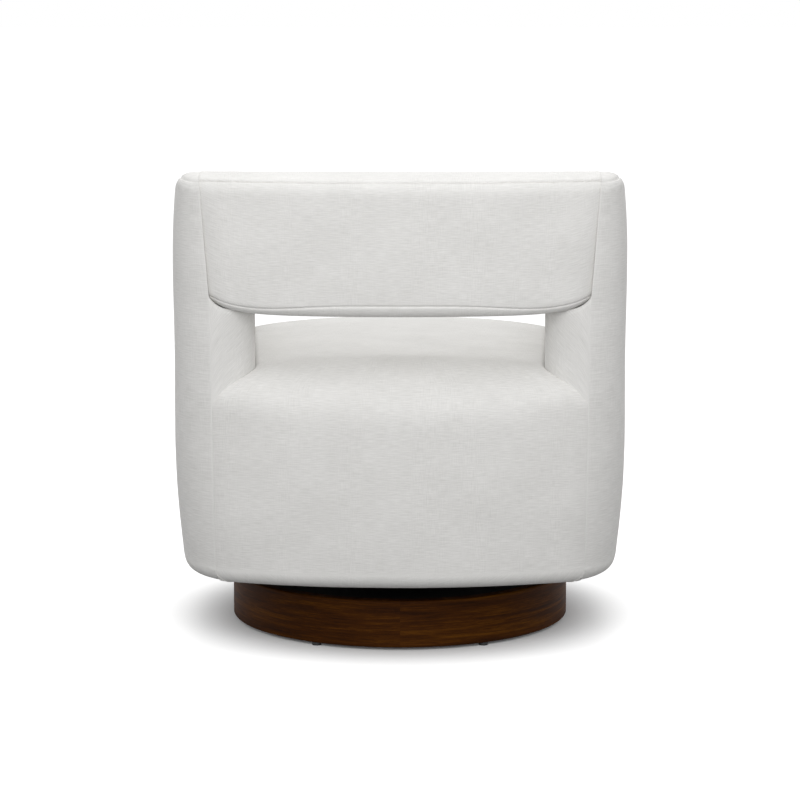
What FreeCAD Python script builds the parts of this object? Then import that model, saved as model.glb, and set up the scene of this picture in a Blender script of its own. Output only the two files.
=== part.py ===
import FreeCAD, Part
import Sketcher
import math
import os
import re

# Swivel barrel chair on a round wooden plinth. The plinth stands still on the floor
# and the whole upholstered body turns on a ball-bearing swivel hidden in the recess.
# Millimetres, +Z up, origin on the floor under the middle of the plinth,
# the sitter looks along -Y and the open back faces +Y.

V = FreeCAD.Vector
doc = FreeCAD.newDocument("swivel_barrel_chair")

# Driving dimensions

SIZES = {
    # plinth
    "plinth_radius": 277.7,
    "plinth_height": 82,
    "plinth_wall": 18,
    "plinth_edge": 3,
    "top_board_thickness": 18,
    "brace_height": 40,
    "brace_width": 20,
    "glue_block_length": 44,
    "glue_block_depth": 25,
    "glue_block_height": 36,
    "glide_radius": 7.5,
    "glide_drop": 5,
    "lap_play": 0.2,
    "fit_gap": 0.3,
    # swivel
    "recess_height": 31,
    "swivel_side": 200,
    "swivel_sheet": 3,
    "race_radius": 70,
    "race_width": 20,
    "race_split": 2,
    "ball_radius": 5,
    "ball_play": 0.1,
    "cage_thickness": 1.4,
    "cage_side_gap": 1,
    "king_pin_radius": 8,
    "king_pin_play": 0.05,
    "king_pin_head_radius": 14,
    "king_pin_head_height": 4,
    "king_pin_tenon_radius": 6,
    "king_pin_rivet_radius": 10,
    "king_pin_rivet_height": 3,
    "king_pin_well_gap": 4,
    "fixing_spacing": 170,
    "bolt_radius": 4,
    "bolt_head_radius": 7,
    "bolt_head_height": 5,
    "bolt_play": 0.3,
    "tee_nut_wall": 1.4,
    "tee_nut_flange_radius": 11,
    "tee_nut_flange_thickness": 1.5,
    "wood_screw_radius": 2.5,
    "wood_screw_length": 15,
    "wood_screw_head_radius": 5.5,
    "wood_screw_head_height": 3,
    # outer form of the upholstered body, as level sections from foot to crest
    "body_height": 770,
    "foot_half_width": 356,
    "foot_half_depth": 341,
    "foot_corner": 145,
    "foot_side_bow": 1500,
    "foot_end_bow": 800,
    "flank_height": 245,
    "flank_half_width": 367,
    "flank_half_depth": 356,
    "flank_corner": 130,
    "flank_side_bow": 2000,
    "flank_end_bow": 950,
    "waist_height": 480,
    "waist_half_width": 368,
    "waist_half_depth": 366,
    "waist_corner": 110,
    "waist_side_bow": 2500,
    "waist_end_bow": 1200,
    "shoulder_height": 680,
    "shoulder_half_width": 368.5,
    "shoulder_half_depth": 368,
    "shoulder_corner": 95,
    "shoulder_side_bow": 2500,
    "shoulder_end_bow": 1300,
    "crest_half_width": 357,
    "crest_half_depth": 362,
    "crest_corner": 70,
    "crest_side_bow": 2500,
    "crest_end_bow": 1300,
    "crest_spare": 30,
    "foot_roll": 26,
    # arms
    "seam_foot": 295,
    "seam_waist": 298,
    "seam_crest": 314.4,
    "seam_bend_height": 560,
    "post_inner_back": 230,
    "post_inner_front": 257,
    "post_set_back": 2,
    "arm_crest_height": 767.5,
    "arm_level_end": 280,
    "arm_front_reach": 330,
    "arm_front_height": 612,
    "arm_roll": 24,
    "arm_inner_roll": 12,
    # backrest
    "back_bottom": 551,
    "back_crown": 8,
    "back_front_low": 195,
    "back_front_high": 212,
    "back_low_roll": 19,
    "back_top_roll": 14,
    "back_front_low_roll": 28,
    "back_front_top_roll": 18,
    "back_quarter_half_width": 150,
    "back_quarter_lift": 0,
    "back_post_half_width": 232,
    "back_post_lift": 2,
    "back_curl_half_width": 280,
    "back_curl_lift": 8,
    "back_end_half_width": 330,
    "back_end_lift": 30,
    # seat block
    "seat_height": 473,
    "seat_level_front": 157,
    "seat_front_drop": 85,
    "seat_middle_reach": 115,
    "seat_middle_drop": 88,
    "seat_quarter_half_width": 150,
    "seat_quarter_fall": 4,
    "seat_quarter_reach": 100,
    "seat_quarter_drop": 82,
    "seat_side_half_width": 232,
    "seat_side_fall": 13,
    "seat_side_reach": 75,
    "seat_side_drop": 55,
    "seat_end_half_width": 304,
    "seat_end_fall": 30,
    "seat_end_reach": 45,
    "seat_end_drop": 26,
    # layers
    "cover_thickness": 2,
    "soft_gap": 0.3,
    "cover_turn_in": 60,
    "dust_cover_thickness": 0.6,
    "dust_cover_inset": 38,
    "dust_cover_hole": 160,
    # frame
    "base_board_thickness": 18,
    "base_board_inset": 28,
    "seat_rail_half_width": 225,
    "seat_rail_front": 288,
    "seat_rail_back": 288,
    "seat_rail_height": 187,
    "seat_rail_thickness": 25,
    "corner_block_leg": 60,
    "corner_block_height": 50,
    "web_width": 50,
    "web_thickness": 2,
    "web_count_long": 5,
    "web_count_cross": 6,
    "arm_post_foot": 265,
    "arm_post_lean": 53,
    "arm_post_thickness": 35,
    "arm_post_width": 45,
    "rear_post_top": 735,
    "rear_post_back": 235,
    "front_post_top": 570,
    "front_post_front": 225,
    "arm_rail_height": 40,
    "arm_panel_thickness": 4,
    "back_rail_half_length": 335,
    "back_rail_thickness": 25,
    "back_low_rail_bottom": 580,
    "back_low_rail_height": 50,
    "back_top_rail_bottom": 690,
    "back_top_rail_height": 40,
    "slat_width": 60,
    "slat_thickness": 12,
    "slat_spacing": 150,
}

GLIDES = 6
BALLS = 16
GLUE_BLOCKS = 8

# How far a cutting shape runs past what it cuts, and how close two places count as one

OVERRUN = 1.0
TOUCH = 0.01

# Heights shared by several pieces: how much of each size they add up

LEVELS = {
    "board_base": {"plinth_height": 1, "top_board_thickness": -1},
    "brace_base": {"plinth_height": 1, "top_board_thickness": -1, "brace_height": -1},
    "ball_centre": {"plinth_height": 1, "recess_height": 0.5, "cover_thickness": 0.5},
    "underside": {"plinth_height": 1, "recess_height": 1},
    "upper_sheet": {"plinth_height": 1, "recess_height": 1, "cover_thickness": 1, "swivel_sheet": -1},
    "deck_base": {"plinth_height": 1, "recess_height": 1, "cover_thickness": 1},
    "deck_top": {"plinth_height": 1, "recess_height": 1, "cover_thickness": 1, "base_board_thickness": 1},
    "rail_top": {
        "plinth_height": 1,
        "recess_height": 1,
        "cover_thickness": 1,
        "base_board_thickness": 1,
        "seat_rail_height": 1,
    },
}

sheet = doc.addObject("Spreadsheet::Sheet", "Sizes")
for row, (alias, value) in enumerate(SIZES.items(), start=1):
    sheet.set("A%d" % row, alias)
    sheet.set("B%d" % row, str(value))
    sheet.setAlias("B%d" % row, alias)
doc.recompute()


def size(alias):
    return float(sheet.get(alias))


def level(name):
    return sum(share * size(alias) for alias, share in LEVELS[name].items())


def formula(text):
    """Write size and level names as references to the sheet's cells."""
    def cell(match):
        word = match.group()
        if word in LEVELS:
            shares = ["%s * Sizes.%s" % (share, alias) for alias, share in LEVELS[word].items()]
            return "(%s)" % " + ".join(shares)
        return "Sizes." + word if word in SIZES else word
    return re.sub(r"[a-z][a-z_]+", cell, text)


NODES = []


def node(item, name):
    """Name a finished piece and list it for writing."""
    item.Label = name
    NODES.append(item)
    return item


def bind(item, rules):
    for prop, text in rules.items():
        item.setExpression(prop, formula(text))
    return item


def place(item, x="0", y="0", z="0"):
    return bind(item, {".Placement.Base.x": x, ".Placement.Base.y": y, ".Placement.Base.z": z})


def cylinder(name, radius, height, z, x="0", y="0"):
    item = doc.addObject("Part::Cylinder", name)
    bind(item, {"Radius": radius, "Height": height})
    return place(item, x, y, z)


def box(name, length, width, height, x, y, z):
    item = doc.addObject("Part::Box", name)
    bind(item, {"Length": length, "Width": width, "Height": height})
    return place(item, x, y, z)


def fuse(name, parts):
    item = doc.addObject("Part::MultiFuse", name)
    item.Shapes = parts
    return item


def cut(name, base, tools):
    item = doc.addObject("Part::Cut", name)
    item.Base = base
    item.Tool = tools[0] if len(tools) == 1 else fuse(name + "_tools", tools)
    return item


def feature(name, shape):
    """A piece shaped in code from the sheet's sizes."""
    item = doc.addObject("Part::Feature", name)
    item.Shape = shape
    item.Placement = FreeCAD.Placement()
    return item


def through(thickness, base):
    """Height and start of a hole that runs past both faces of a board or sheet."""
    return "%s + %s" % (thickness, 2 * OVERRUN), "%s - %s" % (base, OVERRUN)


def corners(name, radius, height, z):
    """Four upright cylinders on the square of the swivel's fixings."""
    half = "(fixing_spacing / 2)"
    spots = [(x, y) for x in (half, "-" + half) for y in (half, "-" + half)]
    return [cylinder("%s_%d" % (name, i), radius, height, z, x, y) for i, (x, y) in enumerate(spots)]


def ring_of(shape, count, radius, z, start=0.0):
    """Copies of a shape set evenly round the vertical axis."""
    copies = []
    for step in range(count):
        turn = FreeCAD.Rotation(V(0, 0, 1), start + 360.0 * step / count)
        copy = shape.copy()
        copy.Placement = FreeCAD.Placement(turn.multVec(V(radius, 0, z)), turn)
        copies.append(copy)
    return Part.makeCompound(copies)


# Plinth ring: bent ply with a walnut veneer, its outer edges eased

def plinth_ring():
    body = doc.addObject("PartDesign::Body", "plinth_ring")
    plane = next(f for f in body.Origin.OriginFeatures if f.Role == "XZ_Plane")
    sketch = body.newObject("Sketcher::SketchObject", "plinth_ring_section")
    sketch.AttachmentSupport = (plane, "")
    sketch.MapMode = "FlatFace"
    inner, outer = size("plinth_radius") - size("plinth_wall"), size("plinth_radius")
    low, high = size("glide_drop"), size("plinth_height")
    points = [V(inner, low, 0), V(outer, low, 0), V(outer, high, 0), V(inner, high, 0)]
    for start, end in zip(points, points[1:] + points[:1]):
        sketch.addGeometry(Part.LineSegment(start, end), False)
    for line in range(4):
        sketch.addConstraint(Sketcher.Constraint("Coincident", line, 2, (line + 1) % 4, 1))
    for line, lie in enumerate(("Horizontal", "Vertical", "Horizontal", "Vertical")):
        sketch.addConstraint(Sketcher.Constraint(lie, line))
    rules = {
        "outer": ("DistanceX", 1, 1, "plinth_radius"),
        "inner": ("DistanceX", 3, 1, "plinth_radius - plinth_wall"),
        "low": ("DistanceY", 0, 1, "glide_drop"),
        "high": ("DistanceY", 2, 1, "plinth_height"),
    }
    for name, (kind, line, end, text) in rules.items():
        value = abs(getattr(points[line], "x" if kind == "DistanceX" else "y"))
        index = sketch.addConstraint(Sketcher.Constraint(kind, -1, 1, line, end, value))
        sketch.renameConstraint(index, name)
        sketch.setExpression("Constraints." + name, formula(text))
    turn = body.newObject("PartDesign::Revolution", "plinth_ring_turn")
    turn.Profile = sketch
    turn.ReferenceAxis = (sketch, ["V_Axis"])
    turn.Angle = 360
    doc.recompute()
    outer_edges = [
        "Edge%d" % (i + 1)
        for i, edge in enumerate(turn.Shape.Edges)
        if isinstance(edge.Curve, Part.Circle) and abs(edge.Curve.Radius - outer) < TOUCH
    ]
    ease = body.newObject("PartDesign::Fillet", "plinth_ring_ease")
    ease.Base = (turn, outer_edges)
    bind(ease, {"Radius": "plinth_edge"})
    body.Tip = ease
    return body


node(plinth_ring(), "plinth_ring")

# Plinth top board: drops into the ring and rests on the braces and glue blocks

top_board_disc = cylinder(
    "top_board_disc", "plinth_radius - plinth_wall - fit_gap", "top_board_thickness", "board_base"
)
top_board_hole = cylinder("top_board_hole", "king_pin_head_radius + king_pin_well_gap",
                          *through("top_board_thickness", "board_base"))
SCREW_TIP = "(plinth_height + swivel_sheet - wood_screw_length)"
top_board_pilots = corners(
    "top_board_pilot", "wood_screw_radius + king_pin_play", "wood_screw_length", SCREW_TIP
)
node(cut("plinth_top_board", top_board_disc, [top_board_hole] + top_board_pilots), "plinth_top_board")

# Plinth braces: two beams, half-lapped where they cross

BRACE_REACH = "sqrt((plinth_radius - plinth_wall - fit_gap) ^ 2 - (brace_width / 2) ^ 2)"


def brace(name, along_x, notch_from_top):
    beam_size = ("2 * " + BRACE_REACH, "brace_width")
    notch_size = ("brace_width + lap_play", "brace_width + %s" % (2 * OVERRUN))
    if not along_x:
        beam_size = beam_size[::-1]
        notch_size = notch_size[::-1]
    beam = box(name + "_beam", beam_size[0], beam_size[1], "brace_height",
               "-(%s) / 2" % beam_size[0], "-(%s) / 2" % beam_size[1], "brace_base")
    base = "brace_base + brace_height / 2" if notch_from_top else "brace_base - %s" % OVERRUN
    lap = box(name + "_lap", notch_size[0], notch_size[1], "brace_height / 2 + %s" % OVERRUN,
              "-(%s) / 2" % notch_size[0], "-(%s) / 2" % notch_size[1], base)
    return node(cut(name, beam, [lap]), name)


brace("plinth_brace_side_to_side", True, True)
brace("plinth_brace_front_to_back", False, False)

# Glue blocks: short battens in the corner between ring and top board

def glue_blocks():
    depth, length, height = size("glue_block_depth"), size("glue_block_length"), size("glue_block_height")
    inner = size("plinth_radius") - size("plinth_wall")
    far = math.sqrt((inner - size("fit_gap")) ** 2 - (length / 2) ** 2)
    block = Part.makeBox(depth, length, height, V(-depth, -length / 2, -height))
    half_step = 180.0 / GLUE_BLOCKS
    return ring_of(block, GLUE_BLOCKS, far, level("board_base"), half_step)


node(feature("plinth_glue_blocks", glue_blocks()), "plinth_glue_blocks")

# Floor glides: nylon discs nailed under the ring, the only pieces that touch the floor

glide = Part.makeCylinder(size("glide_radius"), size("glide_drop"))
glide_circle = size("plinth_radius") - size("plinth_wall") / 2
node(feature("floor_glides", ring_of(glide, GLIDES, glide_circle, 0)), "floor_glides")

# Swivel: two pressed steel plates with a ball race between them, held by a king pin

RACE_OUT = "(race_radius + race_width / 2)"
RACE_IN = "(race_radius - race_width / 2)"


def swivel_plate(name, sheet_base, race_base, race_height, pin_bore, fixing_bore):
    plate = box(name + "_sheet", "swivel_side", "swivel_side", "swivel_sheet",
                "-swivel_side / 2", "-swivel_side / 2", sheet_base)
    race = cylinder(name + "_race", RACE_OUT, race_height, race_base)
    well = cylinder(name + "_race_well", RACE_IN, race_height, race_base)
    ring = cut(name + "_race_ring", race, [well])
    groove = doc.addObject("Part::Torus", name + "_groove")
    bind(groove, {"Radius1": "race_radius", "Radius2": "ball_radius + ball_play"})
    place(groove, z="ball_centre")
    bore = cylinder(name + "_pin_bore", pin_bore, *through("swivel_sheet", sheet_base))
    holes = corners(name + "_fixing", fixing_bore, *through("swivel_sheet", sheet_base))
    return node(cut(name, fuse(name + "_pressing", [plate, ring]), [groove, bore] + holes), name)


swivel_plate("swivel_lower_plate", "plinth_height", "(plinth_height + swivel_sheet)",
             "ball_centre - race_split / 2 - plinth_height - swivel_sheet",
             "king_pin_radius + king_pin_play", "wood_screw_radius + bolt_play")
swivel_plate("swivel_upper_plate", "upper_sheet", "(ball_centre + race_split / 2)",
             "upper_sheet - ball_centre - race_split / 2",
             "king_pin_tenon_radius + king_pin_play", "bolt_radius + bolt_play")

ball = Part.makeSphere(size("ball_radius"))
balls = ring_of(ball, BALLS, size("race_radius"), level("ball_centre"))
node(feature("bearing_balls", balls), "bearing_balls")


def ball_cage():
    thickness = size("cage_thickness")
    base = level("ball_centre") - thickness / 2
    half = size("race_width") / 2 - size("cage_side_gap")
    disc = Part.makeCylinder(size("race_radius") + half, thickness, V(0, 0, base))
    hole = Part.makeCylinder(size("race_radius") - half, thickness, V(0, 0, base))
    pocket = Part.makeCylinder(size("ball_radius") + size("ball_play"), thickness)
    return disc.cut(hole).cut(ring_of(pocket, BALLS, size("race_radius"), base))


node(feature("ball_cage", ball_cage()), "ball_cage")

PIN_HEAD_BASE = "(plinth_height - fit_gap - king_pin_head_height)"
pin_head = cylinder("king_pin_head", "king_pin_head_radius", "king_pin_head_height", PIN_HEAD_BASE)
pin_shank = cylinder("king_pin_shank", "king_pin_radius", "upper_sheet - plinth_height + fit_gap",
                     "plinth_height - fit_gap")
pin_tenon = cylinder("king_pin_tenon", "king_pin_tenon_radius", "swivel_sheet", "upper_sheet")
pin_rivet = cylinder("king_pin_rivet", "king_pin_rivet_radius", "king_pin_rivet_height", "deck_base")
node(fuse("king_pin", [pin_head, pin_shank, pin_tenon, pin_rivet]), "king_pin")

screw_heads = corners("wood_screw_head", "wood_screw_head_radius", "wood_screw_head_height",
                      "plinth_height + swivel_sheet")
screw_shanks = corners("wood_screw_shank", "wood_screw_radius", "wood_screw_length", SCREW_TIP)


def pairs(name, uppers, lowers):
    """Like pieces in one node, each fused from its two stretches."""
    group = doc.addObject("Part::Compound", name)
    group.Links = [fuse("%s_%d" % (name, i), list(pair)) for i, pair in enumerate(zip(uppers, lowers))]
    return node(group, name)


pairs("lower_plate_screws", screw_heads, screw_shanks)
bolt_heads = corners("bolt_head", "bolt_head_radius", "bolt_head_height", "upper_sheet - bolt_head_height")
bolt_shanks = corners("bolt_shank", "bolt_radius", "deck_top - upper_sheet", "upper_sheet")
pairs("upper_plate_bolts", bolt_heads, bolt_shanks)

TEE_BARREL = "(bolt_radius + king_pin_play + tee_nut_wall)"


def tee_nuts():
    flanges = corners("tee_flange", "tee_nut_flange_radius", "tee_nut_flange_thickness", "deck_top")
    barrels = corners("tee_barrel", TEE_BARREL, "base_board_thickness", "deck_base")
    bores = corners("tee_bore", "bolt_radius + king_pin_play",
                    *through("base_board_thickness + tee_nut_flange_thickness", "deck_base"))
    nuts = []
    for i, (flange, barrel, bore) in enumerate(zip(flanges, barrels, bores)):
        nuts.append(cut("tee_nut_%d" % i, fuse("tee_blank_%d" % i, [flange, barrel]), [bore]))
    group = doc.addObject("Part::Compound", "tee_nuts")
    group.Links = nuts
    return node(group, "tee_nuts")


tee_nuts()

# Outer form of the upholstered body. Each level section is a barrel plan: bowed sides and
# ends joined by round corners. An inset moves every face inwards by the same amount.

SECTIONS = ("foot", "flank", "waist", "shoulder", "crest")


def section_height(name):
    if name == "foot":
        return level("underside")
    if name == "crest":
        return size("body_height") + size("crest_spare")
    return size(name + "_height")


def section_sizes(name):
    parts = ("half_width", "half_depth", "corner", "side_bow", "end_bow")
    return [size("%s_%s" % (name, part)) for part in parts]


def sizes_at(z):
    """Section sizes at any height, in proportion between the named sections."""
    for lower, upper in zip(SECTIONS, SECTIONS[1:]):
        low, high = section_height(lower), section_height(upper)
        if z <= high:
            share = max(0.0, (z - low) / (high - low))
            return [a + (b - a) * share for a, b in zip(section_sizes(lower), section_sizes(upper))]
    return section_sizes(SECTIONS[-1])


def corner_centre(half_width, half_depth, corner, side_bow, end_bow):
    """Centre of the corner arc that touches the side arc and the end arc."""
    side_x, end_y = half_width - side_bow, half_depth - end_bow
    to_side, to_end = side_bow - corner, end_bow - corner
    span = math.hypot(side_x, end_y)
    along = (to_side ** 2 - to_end ** 2 + span ** 2) / (2 * span)
    across = math.sqrt(to_side ** 2 - along ** 2)
    ux, uy = -side_x / span, end_y / span
    options = [(side_x + along * ux - s * across * uy, along * uy + s * across * ux) for s in (1, -1)]
    return max(options, key=sum)


def plan_edges(sizes, inset, z):
    half_width, half_depth, corner, side_bow, end_bow = [value - inset for value in sizes]
    cx, cy = corner_centre(half_width, half_depth, corner, side_bow, end_bow)
    centre = V(cx, cy, z)
    side_centre = V(half_width - side_bow, 0, z)
    end_centre = V(0, half_depth - end_bow, z)
    on_side = side_centre + (centre - side_centre).normalize() * side_bow
    on_end = end_centre + (centre - end_centre).normalize() * end_bow
    bend = centre + ((on_side - centre) + (on_end - centre)).normalize() * corner
    side, end = V(half_width, 0, z), V(0, half_depth, z)

    def flip(point, sx, sy):
        return V(point.x * sx, point.y * sy, point.z)

    arcs = [
        (flip(on_side, 1, -1), side, on_side),
        (on_side, bend, on_end),
        (on_end, end, flip(on_end, -1, 1)),
        (flip(on_end, -1, 1), flip(bend, -1, 1), flip(on_side, -1, 1)),
        (flip(on_side, -1, 1), flip(side, -1, 1), flip(on_side, -1, -1)),
        (flip(on_side, -1, -1), flip(bend, -1, -1), flip(on_end, -1, -1)),
        (flip(on_end, -1, -1), flip(end, 1, -1), flip(on_end, 1, -1)),
        (flip(on_end, 1, -1), flip(bend, 1, -1), flip(on_side, 1, -1)),
    ]
    return [Part.Arc(*points).toShape() for points in arcs]


def end_depth(sizes, x):
    """How far the end face stands from the middle at a distance x off the centre line."""
    half_width, half_depth, corner, side_bow, end_bow = sizes
    cx, cy = corner_centre(*sizes)
    touch = cx * end_bow / math.hypot(cx, cy - half_depth + end_bow)
    if abs(x) <= touch:
        return half_depth - end_bow + math.sqrt(end_bow ** 2 - x ** 2)
    return cy + math.sqrt(max(0.0, corner ** 2 - (abs(x) - cx) ** 2))


def plan_prism(sizes, inset, base, height):
    face = Part.Face(Part.Wire(plan_edges(sizes, inset, base)))
    return face.extrude(V(0, 0, height))


def level_edges(shape, z):
    return [e for e in shape.Edges if e.BoundBox.ZMin > z - TOUCH and e.BoundBox.ZMax < z + TOUCH]


def envelope(inset):
    """The whole barrel, over-tall, with its bottom edge rolled under."""
    wires = []
    for name in SECTIONS:
        z = section_height(name) + (inset if name == "foot" else 0)
        wires.append(Part.Wire(plan_edges(section_sizes(name), inset, z)))
    barrel = Part.makeLoft(wires, True, False)
    foot = level("underside") + inset
    return barrel.makeFillet(size("foot_roll") - inset, level_edges(barrel, foot))


def line(start, end):
    return Part.LineSegment(start, end).toShape()


def arc(start, middle, end):
    return Part.Arc(start, middle, end).toShape()


# Limits that lie clear of the whole body on every side

CLEAR = 60.0
OUTSIDE = max(size("shoulder_half_width"), size("shoulder_half_depth")) + CLEAR
ABOVE = section_height("crest") + CLEAR
BELOW = level("underside") - CLEAR


def seam_offset(z):
    """Distance of the upright seam from the centre line."""
    bend = size("seam_bend_height")
    if z <= bend:
        low, high, x_low, x_high = level("underside"), bend, size("seam_foot"), size("seam_waist")
    else:
        low, high, x_low, x_high = bend, size("body_height"), size("seam_waist"), size("seam_crest")
    return x_low + (x_high - x_low) * (z - low) / (high - low)


def arm_region(side, inset):
    """Everything outside one arm's seams and inner face, full height."""
    wires = []
    for z in (BELOW, size("waist_height"), size("seam_bend_height"), ABOVE):
        seam = seam_offset(z) + inset
        reach = end_depth(sizes_at(z), seam_offset(z)) - size("post_set_back") - inset
        back, front = size("post_inner_back") + inset, size("post_inner_front") + inset
        back_round, front_round = seam - back, seam - front
        slant = math.sin(math.pi / 4)
        back_bend = V(seam - back_round * slant, reach - back_round * (1 - slant), z)
        front_bend = V(seam - front_round * slant, -reach + front_round * (1 - slant), z)
        corners_of = [
            V(seam, OUTSIDE, z),
            V(seam, reach, z),
            V(back, reach - back_round, z),
            V(front, -reach + front_round, z),
            V(seam, -reach, z),
            V(seam, -OUTSIDE, z),
            V(OUTSIDE, -OUTSIDE, z),
            V(OUTSIDE, OUTSIDE, z),
        ]
        p = [V(point.x * side, point.y, point.z) for point in corners_of]
        wires.append(Part.Wire([
            line(p[0], p[1]),
            arc(p[1], V(back_bend.x * side, back_bend.y, z), p[2]),
            line(p[2], p[3]),
            arc(p[3], V(front_bend.x * side, front_bend.y, z), p[4]),
            line(p[4], p[5]),
            line(p[5], p[6]),
            line(p[6], p[7]),
            line(p[7], p[0]),
        ]))
    return Part.makeLoft(wires, True, True)


def arm_top_arcs(inset):
    """Radius and the two centres of the S that the arm's top follows, in the YZ plane."""
    high, low = size("arm_crest_height") - inset, size("arm_front_height") - inset
    back, front = size("arm_level_end"), -size("arm_front_reach")
    half_run, half_fall = (back - front) / 2, (high - low) / 2
    radius = (half_run ** 2 + half_fall ** 2) / (2 * half_fall)
    return radius, (back, high - radius), (front, low + radius)


def arm_top_turn():
    """Where along the arm the S changes from one arc to the other."""
    return (size("arm_level_end") - size("arm_front_reach")) / 2


def arm_top(inset, y):
    radius, crest, hollow = arm_top_arcs(inset)
    if y >= arm_top_turn():
        return crest[1] + math.sqrt(radius ** 2 - (y - crest[0]) ** 2)
    return hollow[1] - math.sqrt(radius ** 2 - (y - hollow[0]) ** 2)


def under_arm_top(inset):
    def point(y):
        return V(-OUTSIDE, y, arm_top(inset, y))

    turn = arm_top_turn()
    face = Part.Face(Part.Wire([
        arc(point(OUTSIDE), point((OUTSIDE + turn) / 2), point(turn)),
        arc(point(turn), point((turn - OUTSIDE) / 2), point(-OUTSIDE)),
        line(point(-OUTSIDE), V(-OUTSIDE, -OUTSIDE, 0)),
        line(V(-OUTSIDE, -OUTSIDE, 0), V(-OUTSIDE, OUTSIDE, 0)),
        line(V(-OUTSIDE, OUTSIDE, 0), point(OUTSIDE)),
    ]))
    return face.extrude(V(2 * OUTSIDE, 0, 0))


def between_seams(inset):
    """Upright slab between the two seams."""
    side = [(seam_offset(z) - inset, z) for z in (BELOW, size("seam_bend_height"), ABOVE)]
    points = [V(x, -OUTSIDE, z) for x, z in side] + [V(-x, -OUTSIDE, z) for x, z in reversed(side)]
    return Part.Face(Part.makePolygon(points + points[:1])).extrude(V(0, 2 * OUTSIDE, 0))


def quarter(start, end, bulge_y, bulge_z):
    """Quarter-round in a YZ plane between two points, bulging towards the given corner."""
    slant = math.sin(math.pi / 4)
    corner = V(start.x, bulge_y, bulge_z)
    centre = start + end - corner
    return arc(start, centre + (corner - centre) * slant, end)


def back_profile(x, lift, inset):
    """Closed outline of the backrest at one distance off the centre line."""
    low, high = size("back_bottom") + lift + inset, size("body_height") - size("back_crown") - inset
    low_roll, top_roll = size("back_low_roll") - inset, size("back_top_roll") - inset
    front_roll, brow_roll = size("back_front_low_roll") - inset, size("back_front_top_roll") - inset
    rear_low = end_depth(sizes_at(low + low_roll), x) - inset
    rear_high = end_depth(sizes_at(high), x) - inset
    front_low, front_high = size("back_front_low") + inset, size("back_front_high") + inset
    rear_crest, front_crest = V(x, rear_high - top_roll, high), V(x, front_high + brow_roll, high)
    crest = (rear_crest + front_crest) * 0.5 + V(0, 0, size("back_crown"))
    rear_top, rear_foot = V(x, rear_high, high - top_roll), V(x, rear_low, low + low_roll)
    rear_sole, front_sole = V(x, rear_low - low_roll, low), V(x, front_low + front_roll, low)
    front_foot, front_top = V(x, front_low, low + front_roll), V(x, front_high, high - brow_roll)
    return Part.Wire([
        quarter(rear_sole, rear_foot, rear_low, low),
        line(rear_foot, rear_top),
        quarter(rear_top, rear_crest, rear_high, high),
        arc(rear_crest, crest, front_crest),
        quarter(front_crest, front_top, front_high, high),
        line(front_top, front_foot),
        quarter(front_foot, front_sole, front_low, low),
        line(front_sole, rear_sole),
    ])


def mirrored_stops(middle, wing):
    """Stations from left to right, with the wing's stations repeated on both sides."""
    return [[-stop[0]] + stop[1:] for stop in reversed(wing)] + [middle] + wing


def stations(prefix, names, parts):
    return [[size("%s_%s_%s" % (prefix, name, part)) for part in parts] for name in names]


def back_form(inset):
    """The backrest: a padded band between the seams, its lower ends curling up."""
    wing = stations("back", ("quarter", "post", "curl", "end"), ("half_width", "lift"))
    stops = mirrored_stops([0.0, 0.0], wing)
    band = Part.makeLoft([back_profile(x, lift, inset) for x, lift in stops], True, False)
    return band.common(between_seams(inset))


def above_back(inset):
    """Space between the seams that the backrest keeps free of the arms."""
    base = size("back_bottom") + 2 * size("back_low_roll")
    front_low, front_high = size("back_front_low") + inset, size("back_front_high") + inset
    lean = (front_high - front_low) / (size("body_height") - size("back_bottom"))

    def front(z):
        return V(-OUTSIDE, front_low + lean * (z - size("back_bottom")), z)

    points = [V(-OUTSIDE, OUTSIDE, base), front(base), front(ABOVE), V(-OUTSIDE, OUTSIDE, ABOVE)]
    block = Part.Face(Part.makePolygon(points + points[:1])).extrude(V(2 * OUTSIDE, 0, 0))
    return block.common(between_seams(inset))


def arm_form(side, inset):
    """One arm: outer panels, rounded posts and the S-shaped top with rolled edges."""
    form = envelope(inset).common(arm_region(side, inset)).common(under_arm_top(inset))
    clear = -size("soft_gap") - inset
    form = form.cut(above_back(clear))

    def distance_out(edge):
        return abs(edge.valueAt(edge.FirstParameter).x)

    def top_edges(shape):
        """Edges of the arm's top that run forward from where its S turns."""
        turn = arm_top_turn()
        found = []
        for edge in shape.Edges:
            ends = [edge.valueAt(edge.FirstParameter), edge.valueAt(edge.LastParameter)]
            front, back = sorted(ends, key=lambda point: point.y)
            on_top = all(abs(point.z - arm_top(inset, point.y)) < 10 * TOUCH for point in ends)
            if on_top and abs(back.y - turn) < 10 * TOUCH < turn - front.y:
                found.append(edge)
        return found

    form = form.makeFillet(size("arm_roll") - inset, [max(top_edges(form), key=distance_out)])
    form = form.makeFillet(size("arm_inner_roll") - inset, [min(top_edges(form), key=distance_out)])
    return form.cut(back_form(clear))


def seat_profile(x, fall, reach, drop, inset):
    """Closed outline of the seat block at one distance off the centre line."""
    top = size("seat_height") - fall - inset
    depth = end_depth(sizes_at(size("waist_height")), x) - inset
    start = -size("seat_level_front")
    front_reach, front_drop = depth + start, size("seat_front_drop")
    end = depth - reach

    def back(angle):
        turn = math.radians(angle)
        return V(x, end + reach * math.sin(turn), top - drop * (1 - math.cos(turn)))

    def front(angle):
        turn = math.radians(angle)
        return V(x, start - front_reach * math.sin(turn), top - front_drop * (1 - math.cos(turn)))

    floor = BELOW
    return Part.Wire([
        line(V(x, -depth, floor), front(90)),
        arc(front(90), front(70), front(50)),
        arc(front(50), front(25), front(0)),
        line(front(0), back(0)),
        arc(back(0), back(25), back(50)),
        arc(back(50), back(70), back(90)),
        line(back(90), V(x, depth, floor)),
        line(V(x, depth, floor), V(x, -depth, floor)),
    ])


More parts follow.
